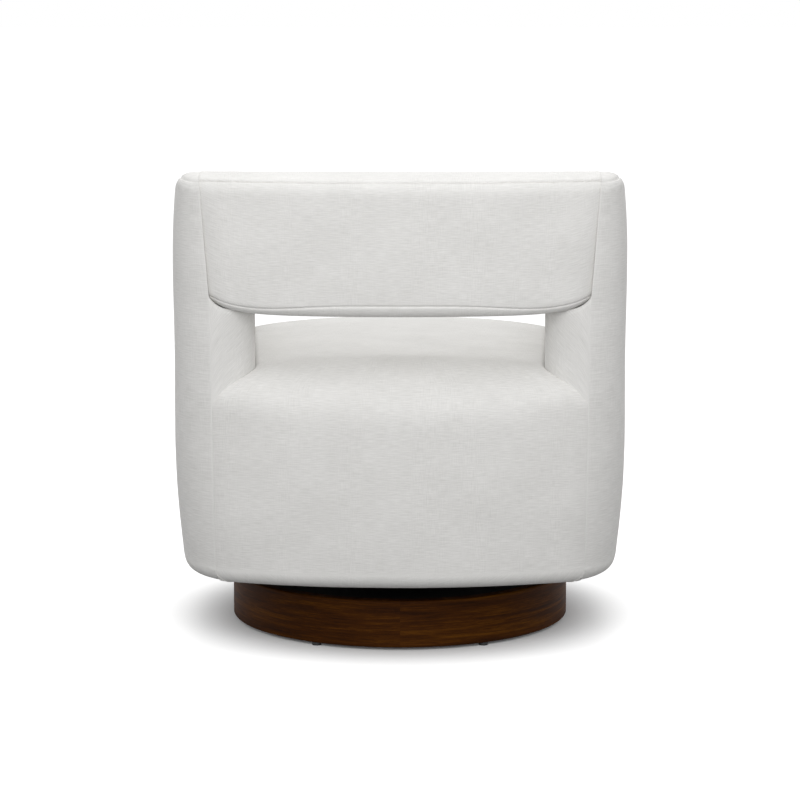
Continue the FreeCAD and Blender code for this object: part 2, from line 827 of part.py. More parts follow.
def seat_form(inset):
    """The centre block: crowned seat that falls over the front and the open back."""
    wing = stations("seat", ("quarter", "side", "end"), ("half_width", "fall", "reach", "drop"))
    stops = mirrored_stops([0.0, 0.0, size("seat_middle_reach"), size("seat_middle_drop")], wing)
    block = Part.makeLoft([seat_profile(*stop, inset) for stop in stops], True, False)
    form = envelope(inset).common(block)
    for side in (1, -1):
        form = form.cut(arm_region(side, -size("soft_gap") - inset))
    return form


# Base board: the ply platform that everything above the swivel is built on

def base_board_blank(grow):
    return plan_prism(sizes_at(level("deck_top")), size("base_board_inset") - grow,
                      level("deck_base"), size("base_board_thickness"))


board = feature("base_board_blank", base_board_blank(0))
board_holes = corners("base_board_hole", TEE_BARREL + " + king_pin_play",
                      *through("base_board_thickness", "deck_base"))
board_well = cylinder("base_board_well", "king_pin_rivet_radius + king_pin_well_gap",
                      *through("base_board_thickness", "deck_base"))
node(cut("base_board", board, board_holes + [board_well]), "base_board")

# Seat box: four rails on edge, glued to the base board and blocked at the corners

FULL = "(2 * seat_rail_half_width)"
BETWEEN = "(seat_rail_front + seat_rail_back - 2 * seat_rail_thickness)"
node(box("seat_rail_front_board", FULL, "seat_rail_thickness", "seat_rail_height",
         "-seat_rail_half_width", "-seat_rail_front", "deck_top"), "seat_rail_front")
node(box("seat_rail_rear_board", FULL, "seat_rail_thickness", "seat_rail_height",
         "-seat_rail_half_width", "seat_rail_back - seat_rail_thickness", "deck_top"), "seat_rail_rear")
node(box("seat_rail_left_board", "seat_rail_thickness", BETWEEN, "seat_rail_height",
         "seat_rail_half_width - seat_rail_thickness", "-seat_rail_front + seat_rail_thickness", "deck_top"),
     "seat_rail_left")
node(box("seat_rail_right_board", "seat_rail_thickness", BETWEEN, "seat_rail_height",
         "-seat_rail_half_width", "-seat_rail_front + seat_rail_thickness", "deck_top"),
     "seat_rail_right")


def corner_blocks():
    leg, base = size("corner_block_leg"), level("deck_top")
    x = size("seat_rail_half_width") - size("seat_rail_thickness")
    back = size("seat_rail_back") - size("seat_rail_thickness")
    front = size("seat_rail_thickness") - size("seat_rail_front")
    blocks = []
    for sx in (1, -1):
        for y, sy in ((back, 1), (front, -1)):
            points = [V(sx * x, y, base), V(sx * (x - leg), y, base), V(sx * x, y - sy * leg, base)]
            face = Part.Face(Part.makePolygon(points + points[:1]))
            blocks.append(face.extrude(V(0, 0, size("corner_block_height"))))
    return Part.makeCompound(blocks)


node(feature("corner_blocks", corner_blocks()), "corner_blocks")


def webbing(count, along_y, base):
    """Evenly spaced straps pulled across the seat box."""
    wide, half, thick = size("web_width"), size("seat_rail_half_width"), size("web_thickness")
    back, front = size("seat_rail_back"), -size("seat_rail_front")
    straps = []
    for step in range(count):
        share = (step + 0.5) / count
        if along_y:
            x = -half + 2 * half * share - wide / 2
            straps.append(Part.makeBox(wide, back - front, thick, V(x, front, base)))
        else:
            y = front + (back - front) * share - wide / 2
            straps.append(Part.makeBox(2 * half, wide, thick, V(-half, y, base)))
    return Part.makeCompound(straps)


node(feature("seat_webbing_long", webbing(int(size("web_count_long")), True, level("rail_top"))),
     "seat_webbing_long")
node(feature("seat_webbing_cross",
             webbing(int(size("web_count_cross")), False, level("rail_top") + size("web_thickness"))),
     "seat_webbing_cross")

# Arm frames: leaning hardwood posts, a rail between them and a thin liner panel

def lean_at(z):
    rise = (z - level("deck_top")) / (size("rear_post_top") - level("deck_top"))
    return size("arm_post_foot") + size("arm_post_lean") * rise


def leaning_board(side, near, thickness, back, width, top):
    """Board in the arm that leans outwards with height, standing on the base board."""
    base = level("deck_top")
    points = [
        V(side * (lean_at(base) + near), back - width, base),
        V(side * (lean_at(base) + near + thickness), back - width, base),
        V(side * (lean_at(top) + near + thickness), back - width, top),
        V(side * (lean_at(top) + near), back - width, top),
    ]
    return Part.Face(Part.makePolygon(points + points[:1])).extrude(V(0, width, 0))


def arm_frame(side, hand):
    thick, wide = size("arm_post_thickness"), size("arm_post_width")
    rear_back, front_back = size("rear_post_back"), wide - size("front_post_front")
    rear = leaning_board(side, 0, thick, rear_back, wide, size("rear_post_top"))
    front = leaning_board(side, 0, thick, front_back, wide, size("front_post_top"))
    rail_base = size("front_post_top") - size("arm_rail_height")
    run = rear_back - wide - front_back
    panel = leaning_board(side, 0, size("arm_panel_thickness"), rear_back - wide, run, rail_base)
    near = lean_at(rail_base)
    rail = Part.makeBox(thick, run, size("arm_rail_height"),
                        V(near if side > 0 else -near - thick, front_back, rail_base))
    shapes = {"arm_post_rear": rear, "arm_post_front": front, "arm_panel": panel, "arm_rail": rail}
    for name, shape in shapes.items():
        node(feature("%s_%s" % (name, hand), shape), "%s_%s" % (name, hand))
    return list(shapes.values())


# Back frame: two rails screwed to the rear faces of the posts, joined by slats

def back_rail(name, bottom, height):
    return node(box(name + "_board", "2 * back_rail_half_length", "back_rail_thickness", height,
                    "-back_rail_half_length", "rear_post_back", bottom), name)


low_rail = back_rail("back_rail_lower", "back_low_rail_bottom", "back_low_rail_height")
top_rail = back_rail("back_rail_upper", "back_top_rail_bottom", "back_top_rail_height")


def back_slats():
    bottom = size("back_low_rail_bottom") + size("back_low_rail_height")
    height = size("back_top_rail_bottom") - bottom
    slats = []
    for step in (-1, 0, 1):
        x = step * size("slat_spacing") - size("slat_width") / 2
        slats.append(Part.makeBox(size("slat_width"), size("slat_thickness"), height,
                                  V(x, size("rear_post_back"), bottom)))
    return Part.makeCompound(slats)


slats = node(feature("back_slats", back_slats()), "back_slats")
doc.recompute()

# Upholstery: each soft piece is a foam block cut round its frame, inside a sewn cover.
# The covers turn in under the base board and are stapled there.

SKIN = size("cover_thickness")
GAP = size("soft_gap")
frame_left = arm_frame(1, "left")
frame_right = arm_frame(-1, "right")
board_space = base_board_blank(GAP)
rail_space = [low_rail.Shape, top_rail.Shape]
turn_in = plan_prism(section_sizes("foot"), size("cover_turn_in"),
                     level("underside") - OVERRUN, SKIN + OVERRUN)


def carved(form, pieces):
    for piece in pieces:
        form = form.cut(piece)
    return form


def upholster(name, make_form, foam_pieces, cover_pieces):
    foam = carved(make_form(SKIN + GAP), foam_pieces)
    cover = carved(make_form(0.0), [make_form(SKIN)] + cover_pieces)
    node(feature(name + "_foam", foam), name + "_foam")
    node(feature(name + "_cover", cover), name + "_cover")


seat_box = Part.makeBox(
    2 * size("seat_rail_half_width"),
    size("seat_rail_front") + size("seat_rail_back"),
    level("rail_top") + 2 * size("web_thickness") + GAP - level("underside"),
    V(-size("seat_rail_half_width"), -size("seat_rail_front"), level("underside")),
)
upholster("seat", seat_form, [board_space, seat_box], [board_space, turn_in])
upholster("left_arm", lambda inset: arm_form(1, inset),
          [board_space] + frame_left + rail_space, [board_space, turn_in] + rail_space)
upholster("right_arm", lambda inset: arm_form(-1, inset),
          [board_space] + frame_right + rail_space, [board_space, turn_in] + rail_space)
upholster("back", back_form, rail_space + [slats.Shape], rail_space)

# Dust cover: thin black cloth stapled over the turned-in edges, open round the swivel

dust = plan_prism(section_sizes("foot"), size("dust_cover_inset"),
                  level("underside") - size("dust_cover_thickness"), size("dust_cover_thickness"))
dust_hole = Part.makeCylinder(size("dust_cover_hole"), 2 * size("dust_cover_thickness"),
                              V(0, 0, level("underside") - 1.5 * size("dust_cover_thickness")))
node(feature("dust_cover", dust.cut(dust_hole)), "dust_cover")

# Check everything, then write one file for each piece

doc.recompute()
faults = [o.Name for o in doc.Objects if "Invalid" in o.State or "Error" in o.State]
for item in NODES:
    if item.Shape.isNull() or not item.Shape.isValid() or not item.Shape.Solids:
        faults.append(item.Label)
if faults:
    raise RuntimeError("failed pieces: " + ", ".join(faults))
os.makedirs("parts", exist_ok=True)
for item in NODES:
    item.Shape.exportStep("parts/%s.step" % item.Label)
    print("%-28s %3d solids %10.1f cm3" % (item.Label, len(item.Shape.Solids), item.Shape.Volume / 1000))
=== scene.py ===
import math

import bmesh
import bpy
import numpy as np
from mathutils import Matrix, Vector, noise


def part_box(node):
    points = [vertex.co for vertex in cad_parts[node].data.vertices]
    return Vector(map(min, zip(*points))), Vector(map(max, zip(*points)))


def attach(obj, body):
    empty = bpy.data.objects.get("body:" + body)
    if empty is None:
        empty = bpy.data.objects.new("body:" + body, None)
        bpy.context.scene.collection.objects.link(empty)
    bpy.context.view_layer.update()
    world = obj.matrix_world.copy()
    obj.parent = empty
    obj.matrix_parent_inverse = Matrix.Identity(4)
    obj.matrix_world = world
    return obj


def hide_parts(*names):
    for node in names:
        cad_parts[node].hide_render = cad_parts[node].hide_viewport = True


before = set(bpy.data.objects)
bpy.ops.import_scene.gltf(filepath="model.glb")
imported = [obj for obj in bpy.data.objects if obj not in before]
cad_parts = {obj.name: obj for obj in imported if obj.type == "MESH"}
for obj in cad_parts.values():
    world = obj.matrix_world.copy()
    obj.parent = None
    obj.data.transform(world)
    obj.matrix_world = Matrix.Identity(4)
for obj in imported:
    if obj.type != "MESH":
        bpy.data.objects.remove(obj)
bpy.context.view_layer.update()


# Plinth ring. Bent plywood laid up round a drum and faced with walnut veneer, its grain
# running round the ring, under a dark dull lacquer. Its two leaves meet in upright joints
# at the middle of the back and of the front.

MM = 0.001
PER_MM = 1000.0
VENEER_LEAF = 872.0
LEAF_SHIFT = 37.0
VENEER_FIGURE = 26.0
FIGURE_RUN = 0.06
VENEER_STREAK = 62.5
VENEER_PORE = 0.9
PORE_RUN = 0.07

carried = {item.name: item for item in bpy.data.objects if item.type == "MESH"}


def linear(code):
    """An sRGB hex colour as the linear values that a shader takes."""
    parts = [int(code[i:i + 2], 16) / 255 for i in (1, 3, 5)]
    return tuple(c / 12.92 if c <= 0.04045 else ((c + 0.055) / 1.055) ** 2.4 for c in parts) + (1.0,)


def add(tree, kind, sockets=None, **settings):
    """One node with its settings, values and links."""
    made = tree.nodes.new(kind)
    for key, value in settings.items():
        setattr(made, key, value)
    for key, value in (sockets or {}).items():
        if isinstance(value, bpy.types.NodeSocket):
            tree.links.new(value, made.inputs[key])
        else:
            made.inputs[key].default_value = value
    return made


def maths(tree, operation, *terms):
    """Result of one arithmetic node."""
    return add(tree, "ShaderNodeMath", dict(enumerate(terms)), operation=operation).outputs[0]


def grain(tree, place, stretch, detail, roughness=0.5, distortion=0.0, scale=1.0):
    """Noise over a place whose axes are scaled one by one."""
    run = add(tree, "ShaderNodeMapping", {"Vector": place, "Scale": stretch})
    return add(tree, "ShaderNodeTexNoise", {
        "Vector": run.outputs[0], "Scale": scale, "Detail": detail, "Roughness": roughness,
        "Distortion": distortion}).outputs["Fac"]


def toned(tree, value, *stops):
    """Colour of a value on a ramp; each stop is a position and an sRGB colour."""
    made = add(tree, "ShaderNodeValToRGB", {0: value})
    elements = made.color_ramp.elements
    for index, (position, colour) in ((0, stops[0]), (1, stops[-1])):
        elements[index].position = position
        elements[index].color = linear(colour)
    for position, colour in stops[1:-1]:
        elements.new(position).color = linear(colour)
    return made.outputs[0]


def coated(tree, shader, colour, relief, strength, depth):
    """Lead a colour and a relief to the shader; the relief's depth in millimetres."""
    bump = add(tree, "ShaderNodeBump", {"Height": relief, "Strength": strength, "Distance": depth * MM})
    tree.links.new(colour, shader.inputs["Base Color"])
    tree.links.new(bump.outputs[0], shader.inputs["Normal"])


def finish_of(name, **principled):
    """A material with its principled shader; uniform values sit on the shader's sockets."""
    material = bpy.data.materials.new(name)
    material.use_nodes = True
    tree = material.node_tree
    shader = tree.nodes["Principled BSDF"]
    for key, value in principled.items():
        shader.inputs[key.replace("_", " ")].default_value = value
    return material, tree, shader


def dress(name, material):
    """Give a carried CAD node its finish."""
    carried[name].data.materials.clear()
    carried[name].data.materials.append(material)


def walnut_veneer():
    """Leaves laid end to end round the ring, each with its own figure, streaks and pores."""
    material, tree, shader = finish_of("walnut veneer under dull lacquer", Roughness=0.6,
                                       Specular_IOR_Level=0.05)
    place = add(tree, "ShaderNodeTexCoord").outputs["Object"]
    parts = add(tree, "ShaderNodeSeparateXYZ", {0: place}).outputs
    turn = maths(tree, "ARCTAN2", parts["X"], parts["Y"])
    along = maths(tree, "MULTIPLY", turn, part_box("plinth_ring")[1].x * PER_MM)
    height = maths(tree, "MULTIPLY", parts["Z"], PER_MM)
    leaf = maths(tree, "FLOOR", maths(tree, "DIVIDE", along, VENEER_LEAF))
    shift = maths(tree, "MULTIPLY", leaf, LEAF_SHIFT)
    sheet = add(tree, "ShaderNodeCombineXYZ", {0: along, 1: height, 2: shift}).outputs[0]
    figure = grain(tree, sheet, (FIGURE_RUN / VENEER_FIGURE, 1 / VENEER_FIGURE, 1.0), 5.0,
                   roughness=0.55, distortion=0.5, scale=2.2)
    streaks = grain(tree, sheet, (1 / VENEER_STREAK, 1.0, 1.0), 6.0, roughness=0.65)
    pores = grain(tree, sheet, (PORE_RUN, 1 / VENEER_PORE, 1.0), 2.0)
    mixed = maths(tree, "MULTIPLY_ADD", pores, 0.35, maths(tree, "ADD", figure, streaks))
    tone = add(tree, "ShaderNodeMapRange", {"Value": mixed, "From Min": 0.9, "From Max": 1.5}).outputs[0]
    colour = toned(tree, tone, (0.0, "#1e0c03"), (0.5, "#3b1d04"), (1.0, "#5e380a"))
    coated(tree, shader, colour, pores, 0.12, 0.2)
    return material


dress("plinth_ring", walnut_veneer())


# Upholstered body. Every soft piece is high-resilience foam glued round the hardwood frame
# and covered in one heathered linen-look weave. The whole body is a barrel in plan: bowed
# sides and ends joined by round corners, widest at the shoulder and drawn in at the foot.

SECTION_HEIGHTS = (113, 245, 480, 680, 800)
HALF_WIDTHS = (356, 367, 368, 368, 357)
HALF_DEPTHS = (341, 356, 366, 368, 362)
CORNERS = (145, 130, 110, 95, 70)
SIDE_BOWS = (1500, 2000, 2500, 2500, 2500)
END_BOWS = (800, 950, 1200, 1300, 1300)
UNDERSIDE = 113.0
FOOT_ROLL = 26.0
SEAM_HEIGHTS = (113, 560, 770)
SEAM_OFFSETS = (295, 298, 314.4)
SOFT_GAP = 0.12
ARC_STEPS = 60
WELD = 0.02
SLIVER = 0.01
SEAM_DEPTH = 1.6
SEAM_WIDTH = 1.6
SEAM_SAG = 0.7
SEAM_REACH = 14.0
EASE_BROAD = 11.0
EASE_FINE = 27.0


def smooth_run(z, heights, values):
    """Natural cubic spline through the values at their heights."""
    heights, values = np.array(heights, float), np.array(values, float)
    steps, rises = np.diff(heights), np.diff(values)
    system = np.eye(len(heights))
    pull = np.zeros(len(heights))
    for i in range(1, len(heights) - 1):
        system[i, i - 1:i + 2] = steps[i - 1], 2 * (steps[i - 1] + steps[i]), steps[i]
        pull[i] = 3 * (rises[i] / steps[i] - rises[i - 1] / steps[i - 1])
    bend = np.linalg.solve(system, pull)
    place = np.clip(np.searchsorted(heights, z, side="right") - 1, 0, len(steps) - 1)
    step, rise, off = steps[place], rises[place], z - heights[place]
    near, far = bend[place], bend[place + 1]
    slope = rise / step - step * (2 * near + far) / 3
    return values[place] + off * (slope + off * (near + off * (far - near) / (3 * step)))


def section(z):
    """Half width, half depth, corner radius and the two bows at a height."""
    rows = (HALF_WIDTHS, HALF_DEPTHS, CORNERS, SIDE_BOWS, END_BOWS)
    return [smooth_run(z, SECTION_HEIGHTS, row) for row in rows]


def seam_at(z):
    """Distance of the upright seams from the centre line."""
    return np.interp(z, SEAM_HEIGHTS, SEAM_OFFSETS)


def corner_centre(sizes):
    """Centre of the round corner that joins a side's bow to an end's bow."""
    half_width, half_depth, corner, side_bow, end_bow = sizes
    side_x, end_y = half_width - side_bow, half_depth - end_bow
    to_side, to_end = side_bow - corner, end_bow - corner
    span = np.hypot(side_x, end_y)
    along = (to_side ** 2 - to_end ** 2 + span ** 2) / (2 * span)
    across = np.sqrt(to_side ** 2 - along ** 2)
    ux, uy = -side_x / span, end_y / span
    near, far = [(side_x + along * ux - s * across * uy, along * uy + s * across * ux) for s in (1, -1)]
    outer = near[0] + near[1] > far[0] + far[1]
    return np.where(outer, near[0], far[0]), np.where(outer, near[1], far[1])


def end_depth(z, x):
    """How far the barrel's end stands from the middle, a distance x off the centre line."""
    sizes = section(z)
    _, half_depth, corner, _, end_bow = sizes
    cx, cy = corner_centre(sizes)
    touch = cx * end_bow / np.hypot(cx, cy - half_depth + end_bow)
    x = np.abs(x)
    bowed = half_depth - end_bow + np.sqrt(end_bow ** 2 - np.minimum(x, touch) ** 2)
    rounded = cy + np.sqrt(np.maximum(0.0, corner ** 2 - (np.maximum(x, touch) - cx) ** 2))
    return np.where(x <= touch, bowed, rounded)


def barrel_side(z, start_x):
    """Plan outline of one side, from the rear seam round to the front seam."""
    sizes = section(z)
    half_width, half_depth, corner, side_bow, end_bow = sizes
    cx, cy = corner_centre(sizes)
    low = math.atan2(cy, cx - half_width + side_bow)
    high = math.atan2(cy - half_depth + end_bow, cx)
    touch = end_bow * math.cos(high)
    start = math.acos(start_x / end_bow) if start_x < touch else math.acos((start_x - cx) / corner)
    arcs = [((0, half_depth - end_bow), end_bow, high, start)] if start_x < touch else []
    arcs.append(((cx, cy), corner, low, min(start, high)))
    arcs.append(((half_width - side_bow, 0), side_bow, 0.0, low))
    half = []
    for (px, py), radius, near, far in arcs:
        for angle in np.linspace(far, near, ARC_STEPS):
            half.append((px + radius * math.cos(angle), py + radius * math.sin(angle)))
    half = np.array(half)
    return np.vstack([half, half[-2::-1] * (1, -1)])


def walk(outline):
    """Length walked along an outline at each of its points."""
    return np.concatenate([[0.0], np.cumsum(np.hypot(*np.diff(outline, axis=0).T))])


def spaced(path, fractions):
    """Points at the given shares of a path's length."""
    run = walk(path)
    run /= run[-1]
    return np.column_stack([np.interp(fractions, run, path[:, axis]) for axis in (0, 1)])


def bunched(u, power):
    """Shares drawn together towards their start with a power over 1, else towards their end."""
    return u ** power if power >= 1 else 1 - (1 - u) ** (1 / power)


def graded(knots, counts, powers):
    """Shares of a length, split at knots; each stretch may bunch towards its start or end."""
    shares = [0.0]
    for low, high, count, power in zip(knots, knots[1:], counts, powers):
        for step in range(1, count + 1):
            shares.append(low + (high - low) * bunched(step / count, power))
    return np.array(shares)


def skin(name, grid, uv, walled):
    """A closed cloth mesh from columns of points that each run round the piece. A walled one
    has a flat face over its first column and one over its last."""
    columns, rows = grid.shape[:2]
    mesh = bpy.data.meshes.new(name)
    built = bmesh.new()
    layer = built.loops.layers.uv.new("cloth")
    points = [built.verts.new(point) for point in (grid.reshape(-1, 3) * MM)]
    flat = uv.reshape(-1, 2)
    for c in range(columns - 1):
        for r in range(rows):
            following = (r + 1) % rows
            here, beyond = c * rows, (c + 1) * rows
            corners = [here + r, beyond + r, beyond + following, here + following]
            face = built.faces.new([points[i] for i in corners])
            face.smooth = True
            for loop, index in zip(face.loops, corners):
                loop[layer].uv = flat[index]
            if following == 0:
                for loop, index in zip(face.loops, corners):
                    if index % rows == 0:
                        loop[layer].uv = flat[index] + (0, (flat[rows - 1] - flat[rows - 2])[1])
    for c in (0, columns - 1) if walled else ():
        built.faces.new(points[c * rows:(c + 1) * rows])
    bmesh.ops.remove_doubles(built, verts=built.verts, dist=WELD * MM)
    bmesh.ops.dissolve_degenerate(built, edges=built.edges, dist=SLIVER * MM)
    bmesh.ops.recalc_face_normals(built, faces=built.faces)
    built.to_mesh(mesh)
    built.free()
    piece = bpy.data.objects.new(name, mesh)
    bpy.context.collection.objects.link(piece)
    return piece


# Repeats of the noise per metre of cloth, along and across each yarn.
WEFT_SLUB = 52.0
WEFT_THREAD = 780.0
WARP_THREAD = 800.0
WARP_SLUB = 45.0
HEATHER = 9.0


def heathered_weave():
    """Linen-look weave: uneven slubs along the weft, a warp that shows in patches, and soft
    heathering. Real threads lie 0.8 mm apart; they are drawn about 1.3 mm apart, to show."""
    material, tree, shader = finish_of(
        "heathered ivory linen-look weave", Roughness=0.92, Sheen_Weight=0.12, Sheen_Roughness=0.5,
        Specular_IOR_Level=0.25)
    cloth = add(tree, "ShaderNodeUVMap", uv_map="cloth").outputs[0]
    weft = grain(tree, cloth, (WEFT_SLUB, WEFT_THREAD, 1.0), 3.0, roughness=0.6)
    warp = grain(tree, cloth, (WARP_THREAD, WARP_SLUB, 1.0), 3.0, roughness=0.6)
    heather = grain(tree, cloth, (HEATHER, HEATHER * 1.6, 1.0), 2.0)
    bands = grain(tree, cloth, (HEATHER * 2.2, 2.0, 1.0), 1.0)
    warp_shown = add(tree, "ShaderNodeMapRange", {
        "Value": bands, "From Min": 0.4, "From Max": 0.7, "To Min": 0.15, "To Max": 0.75}).outputs[0]
    warp_lines = maths(tree, "MULTIPLY", maths(tree, "SUBTRACT", warp, 0.5), warp_shown)
    crossed = maths(tree, "ADD", weft, warp_lines)
    clouded = maths(tree, "MULTIPLY_ADD", heather, 0.35, crossed)
    tone = add(tree, "ShaderNodeMapRange", {"Value": clouded, "From Min": 0.35, "From Max": 1.0}).outputs[0]
    coated(tree, shader, toned(tree, tone, (0.0, "#d3d2cf"), (1.0, "#efeeec")), crossed, 0.35, 0.4)
    return material


weave = heathered_weave()


def upholstered(piece, body_nodes):
    """Finish and declare one soft piece that stands for its foam and its cover."""
    piece.data.materials.append(weave)
    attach(piece, "chair")
    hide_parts(*body_nodes)


def drop(distance, roll):
    """How far a rolled edge lies below its face, a distance in from the edge."""
    near = np.clip(roll - distance, 0, roll)
    return roll - np.sqrt(roll ** 2 - near ** 2)


def pinch(distance):
    """Cloth drawn down into a seam, a distance away from it."""
    return SEAM_DEPTH * np.exp(-(distance / SEAM_WIDTH) ** 2) + SEAM_SAG * np.exp(-distance / SEAM_REACH)


def settle(piece, strength, swell=0.0):
    """Slight unevenness of cloth pulled over foam by hand, and how full the foam makes it."""
    normals = [vertex.normal.copy() for vertex in piece.data.vertices]
    for vertex, normal in zip(piece.data.vertices, normals):
        ease = noise.noise(vertex.co * EASE_BROAD) + 0.5 * noise.noise(vertex.co * EASE_FINE)
        vertex.co += normal * ((ease * strength + swell) * MM)


# Backrest. A padded band between the two arms, carried on hidden rails over an open gap.
# Its rear panel, top boxing and underside are separate cuts of the weave, joined by plain
# seams along the top edge and just above the rolled lower edge.

BACK_BOTTOM = 551.0
BACK_EDGE = 762.0
BACK_CROWN = 8.0
BACK_FRONT_LOW = 195.0
BACK_FRONT_HIGH = 212.0
BACK_LOW_ROLL = 19.0
BACK_FRONT_LOW_ROLL = 28.0
BACK_BROW_ROLL = 18.0
BACK_TOP_ROLL = 22.0
BACK_END = 330.0
BACK_END_LIFT = 30.0
BACK_CURL_POWER = 8
REAR_SEAM_DROP = 7.5
BROW_SEAM_DROP = 13.0
FOOT_SEAM_DIP = 10.0
FOOT_SEAM_LEVEL = 190.0
BACK_SEAM_PULLS = (3.0, 1.5, 1.0)
UPRIGHT_PULL = 0.2
REAR_STEPS = 40
CROWN_STEPS = 160
FRONT_STEPS = 30
SOLE_STEPS = 24
BACK_COLUMNS = 50
BACK_BUNCHING = 1.5
BACK_ROWS = 260
FINE_PLACES = 4000
CLOSEST_ROWS = 0.5
ROW_SPREADING = 0.4


def back_lift(x):
    """How far the lower edge curls up towards the ends."""
    return BACK_END_LIFT * (np.abs(x) / BACK_END) ** BACK_CURL_POWER


def back_front(z):
    """Depth of the backrest's front face at a height."""
    return np.interp(z, (BACK_BOTTOM + BACK_FRONT_LOW_ROLL, BACK_EDGE - BACK_BROW_ROLL),
                     (BACK_FRONT_LOW, BACK_FRONT_HIGH))


def quarter(start, end, corner, steps=14):
    """Quarter of an ellipse between two points, bulging towards a corner."""
    start, end, corner = (np.array(point, float) for point in (start, end, corner))
    middle = start + end - corner
    turns = np.linspace(0, math.pi / 2, steps)[:, None]
    return middle + (start - middle) * np.cos(turns) + (end - middle) * np.sin(turns)


def back_profile(x):
    """Closed outline in the YZ plane: up the rear, over the top, down the front and under."""
    low = BACK_BOTTOM + back_lift(x)
    head_z, brow_z = BACK_EDGE - BACK_TOP_ROLL, BACK_EDGE - BACK_BROW_ROLL
    rising = np.linspace(low + BACK_LOW_ROLL, head_z, REAR_STEPS)
    falling = np.linspace(brow_z, low + BACK_FRONT_LOW_ROLL, FRONT_STEPS)
    rear = [(float(end_depth(z, x)), z) for z in rising]
    head_y, foot_y = rear[-1][0], rear[0][0]
    middle = (head_y + BACK_FRONT_HIGH) / 2
    over = np.linspace(head_y, BACK_FRONT_HIGH, CROWN_STEPS)
    edges = drop(head_y - over, BACK_TOP_ROLL) + drop(over - BACK_FRONT_HIGH, BACK_BROW_ROLL)
    arch = BACK_CROWN * (1 - np.abs((over - middle) / (head_y - middle)) ** 2)
    crown = np.column_stack([over, BACK_EDGE + arch - edges])
    front = [(float(back_front(z)), z) for z in falling]
    under = quarter(front[-1], (BACK_FRONT_LOW + BACK_FRONT_LOW_ROLL, low), (BACK_FRONT_LOW, low))
    foot = quarter((foot_y - BACK_LOW_ROLL, low), rear[0], (foot_y, low))
    sole = np.linspace(under[-1], foot[0], SOLE_STEPS)
    return np.vstack([rear, crown[1:], front[1:], under[1:], sole[1:], foot[1:]])


def stations(length, seams, count):
    """Places along a length, closer together beside its seams."""
    fine = np.linspace(0, length, FINE_PLACES)
    near = np.min([np.abs(fine - seam) for seam in seams], axis=0)
    weight = 1.0 / (CLOSEST_ROWS + np.minimum(near, SEAM_REACH) * ROW_SPREADING)
    run = np.concatenate([[0.0], np.cumsum((weight[1:] + weight[:-1]) / 2)])
    return np.interp(np.linspace(0, 1, count), run / run[-1], fine)


def outward(outline):
    """Unit normals of a closed outline, turned away from its middle."""
    ahead = np.roll(outline, -1, axis=0) - np.roll(outline, 1, axis=0)
    normal = np.column_stack([ahead[:, 1], -ahead[:, 0]])
    normal /= np.maximum(np.hypot(*normal.T), 1e-9)[:, None]
    return normal if np.sum(normal * (outline - outline.mean(axis=0))) > 0 else -normal


def backrest():
    """The band's skin: its outline at each column, drawn in along every seam."""
    shares = graded((0, 0.5, 1), (BACK_COLUMNS,) * 2, (BACK_BUNCHING, 1 / BACK_BUNCHING))
    columns, cloth = [], []
    for across in 2 * shares - 1:
        x = across * seam_at(BACK_EDGE)
        outline = back_profile(x)
        run = walk(outline)
        length = run[-1]
        top = BACK_EDGE + BACK_CROWN
        rear_seam = run[np.argmax(outline[:, 1] > top - REAR_SEAM_DROP)]
        brow_seam = run[len(run) - 1 - np.argmax(outline[::-1, 1] > top - BROW_SEAM_DROP)]
        foot_seam = length - FOOT_SEAM_DIP * (1 - math.exp(-(x / FOOT_SEAM_LEVEL) ** 4)) - 0.01
        seams = (rear_seam, brow_seam, foot_seam)
        stops = stations(length, seams + (0.0,), BACK_ROWS)
        points = np.column_stack([np.interp(stops, run, outline[:, axis]) for axis in (0, 1)])[:-1]
        stops = stops[:-1]
        gaps = [np.abs(stops - seam) for seam in seams]
        drawn = sum(pull * pinch(np.minimum(gap, length - gap))
                    for gap, pull in zip(gaps, BACK_SEAM_PULLS))
        side = seam_at(points[:, 1]) - SOFT_GAP
        drawn += UPRIGHT_PULL * pinch((1 - abs(across)) * side)
        points = points - outward(points) * drawn[:, None]
        columns.append(np.column_stack([across * side, points]))
        cloth.append(np.column_stack([np.full(len(stops), x), stops]) * MM)
    return skin("backrest", np.array(columns), np.array(cloth), walled=True)


upholstered(backrest(), ("back_cover", "back_foam"))


# Arms. Each arm is one thick padded wall that wraps the rear corner as far as the upright
# seam, with a rounded post under the backrest. Its top follows a long S from the backrest
# down to the front, boxed with a strip that is seamed just inside the rolled edges.

ARM_CREST = 767.5
ARM_LEVEL_END = 280.0
ARM_FRONT_REACH = 330.0
ARM_FRONT_HEIGHT = 612.0
ARM_OUTER_ROLL = 24.0
ARM_INNER_ROLL = 12.0
ARM_SEAM_DROP = 7.0
CAP_PULL = 1.8
POST_INNER_BACK = 230.0
POST_INNER_FRONT = 257.0
SHELF_SPREAD = 15.0
SHELF_BITE = 2.2
SHELF_CLEAR = 40.0
SHELF_GROWTH = 8.0
POST_SHARE = 0.275
POST_STEPS = 20
PANEL_STEPS = 40
ARM_LEVELS = 80
TOP_GUESS = 690.0
TOP_ROUNDS = 9
SHELF_LOW_GUESS = 560.0
SHELF_HIGH_GUESS = 575.0
SHELF_ROUNDS = 20
SHELF_DAMPING = 0.6
CAP_SEAM_SLOPE = 0.8
CAP_FULL_WIDTH = 30.0
WALL_ROWS, SHELF_ROWS, UPPER_ROWS, CAP_ROWS, FOOT_ROWS = 54, 10, 26, 72, 36
ARM_UNEVENNESS = 0.25
ARM_SWELL = 0.45

# Columns and bunching of each stretch round an arm: the post, its shank, the wall, the nose.
STRETCHES = ((26, 1.7), (12, 1.0), (56, 1.0), (22, 1 / 1.7))


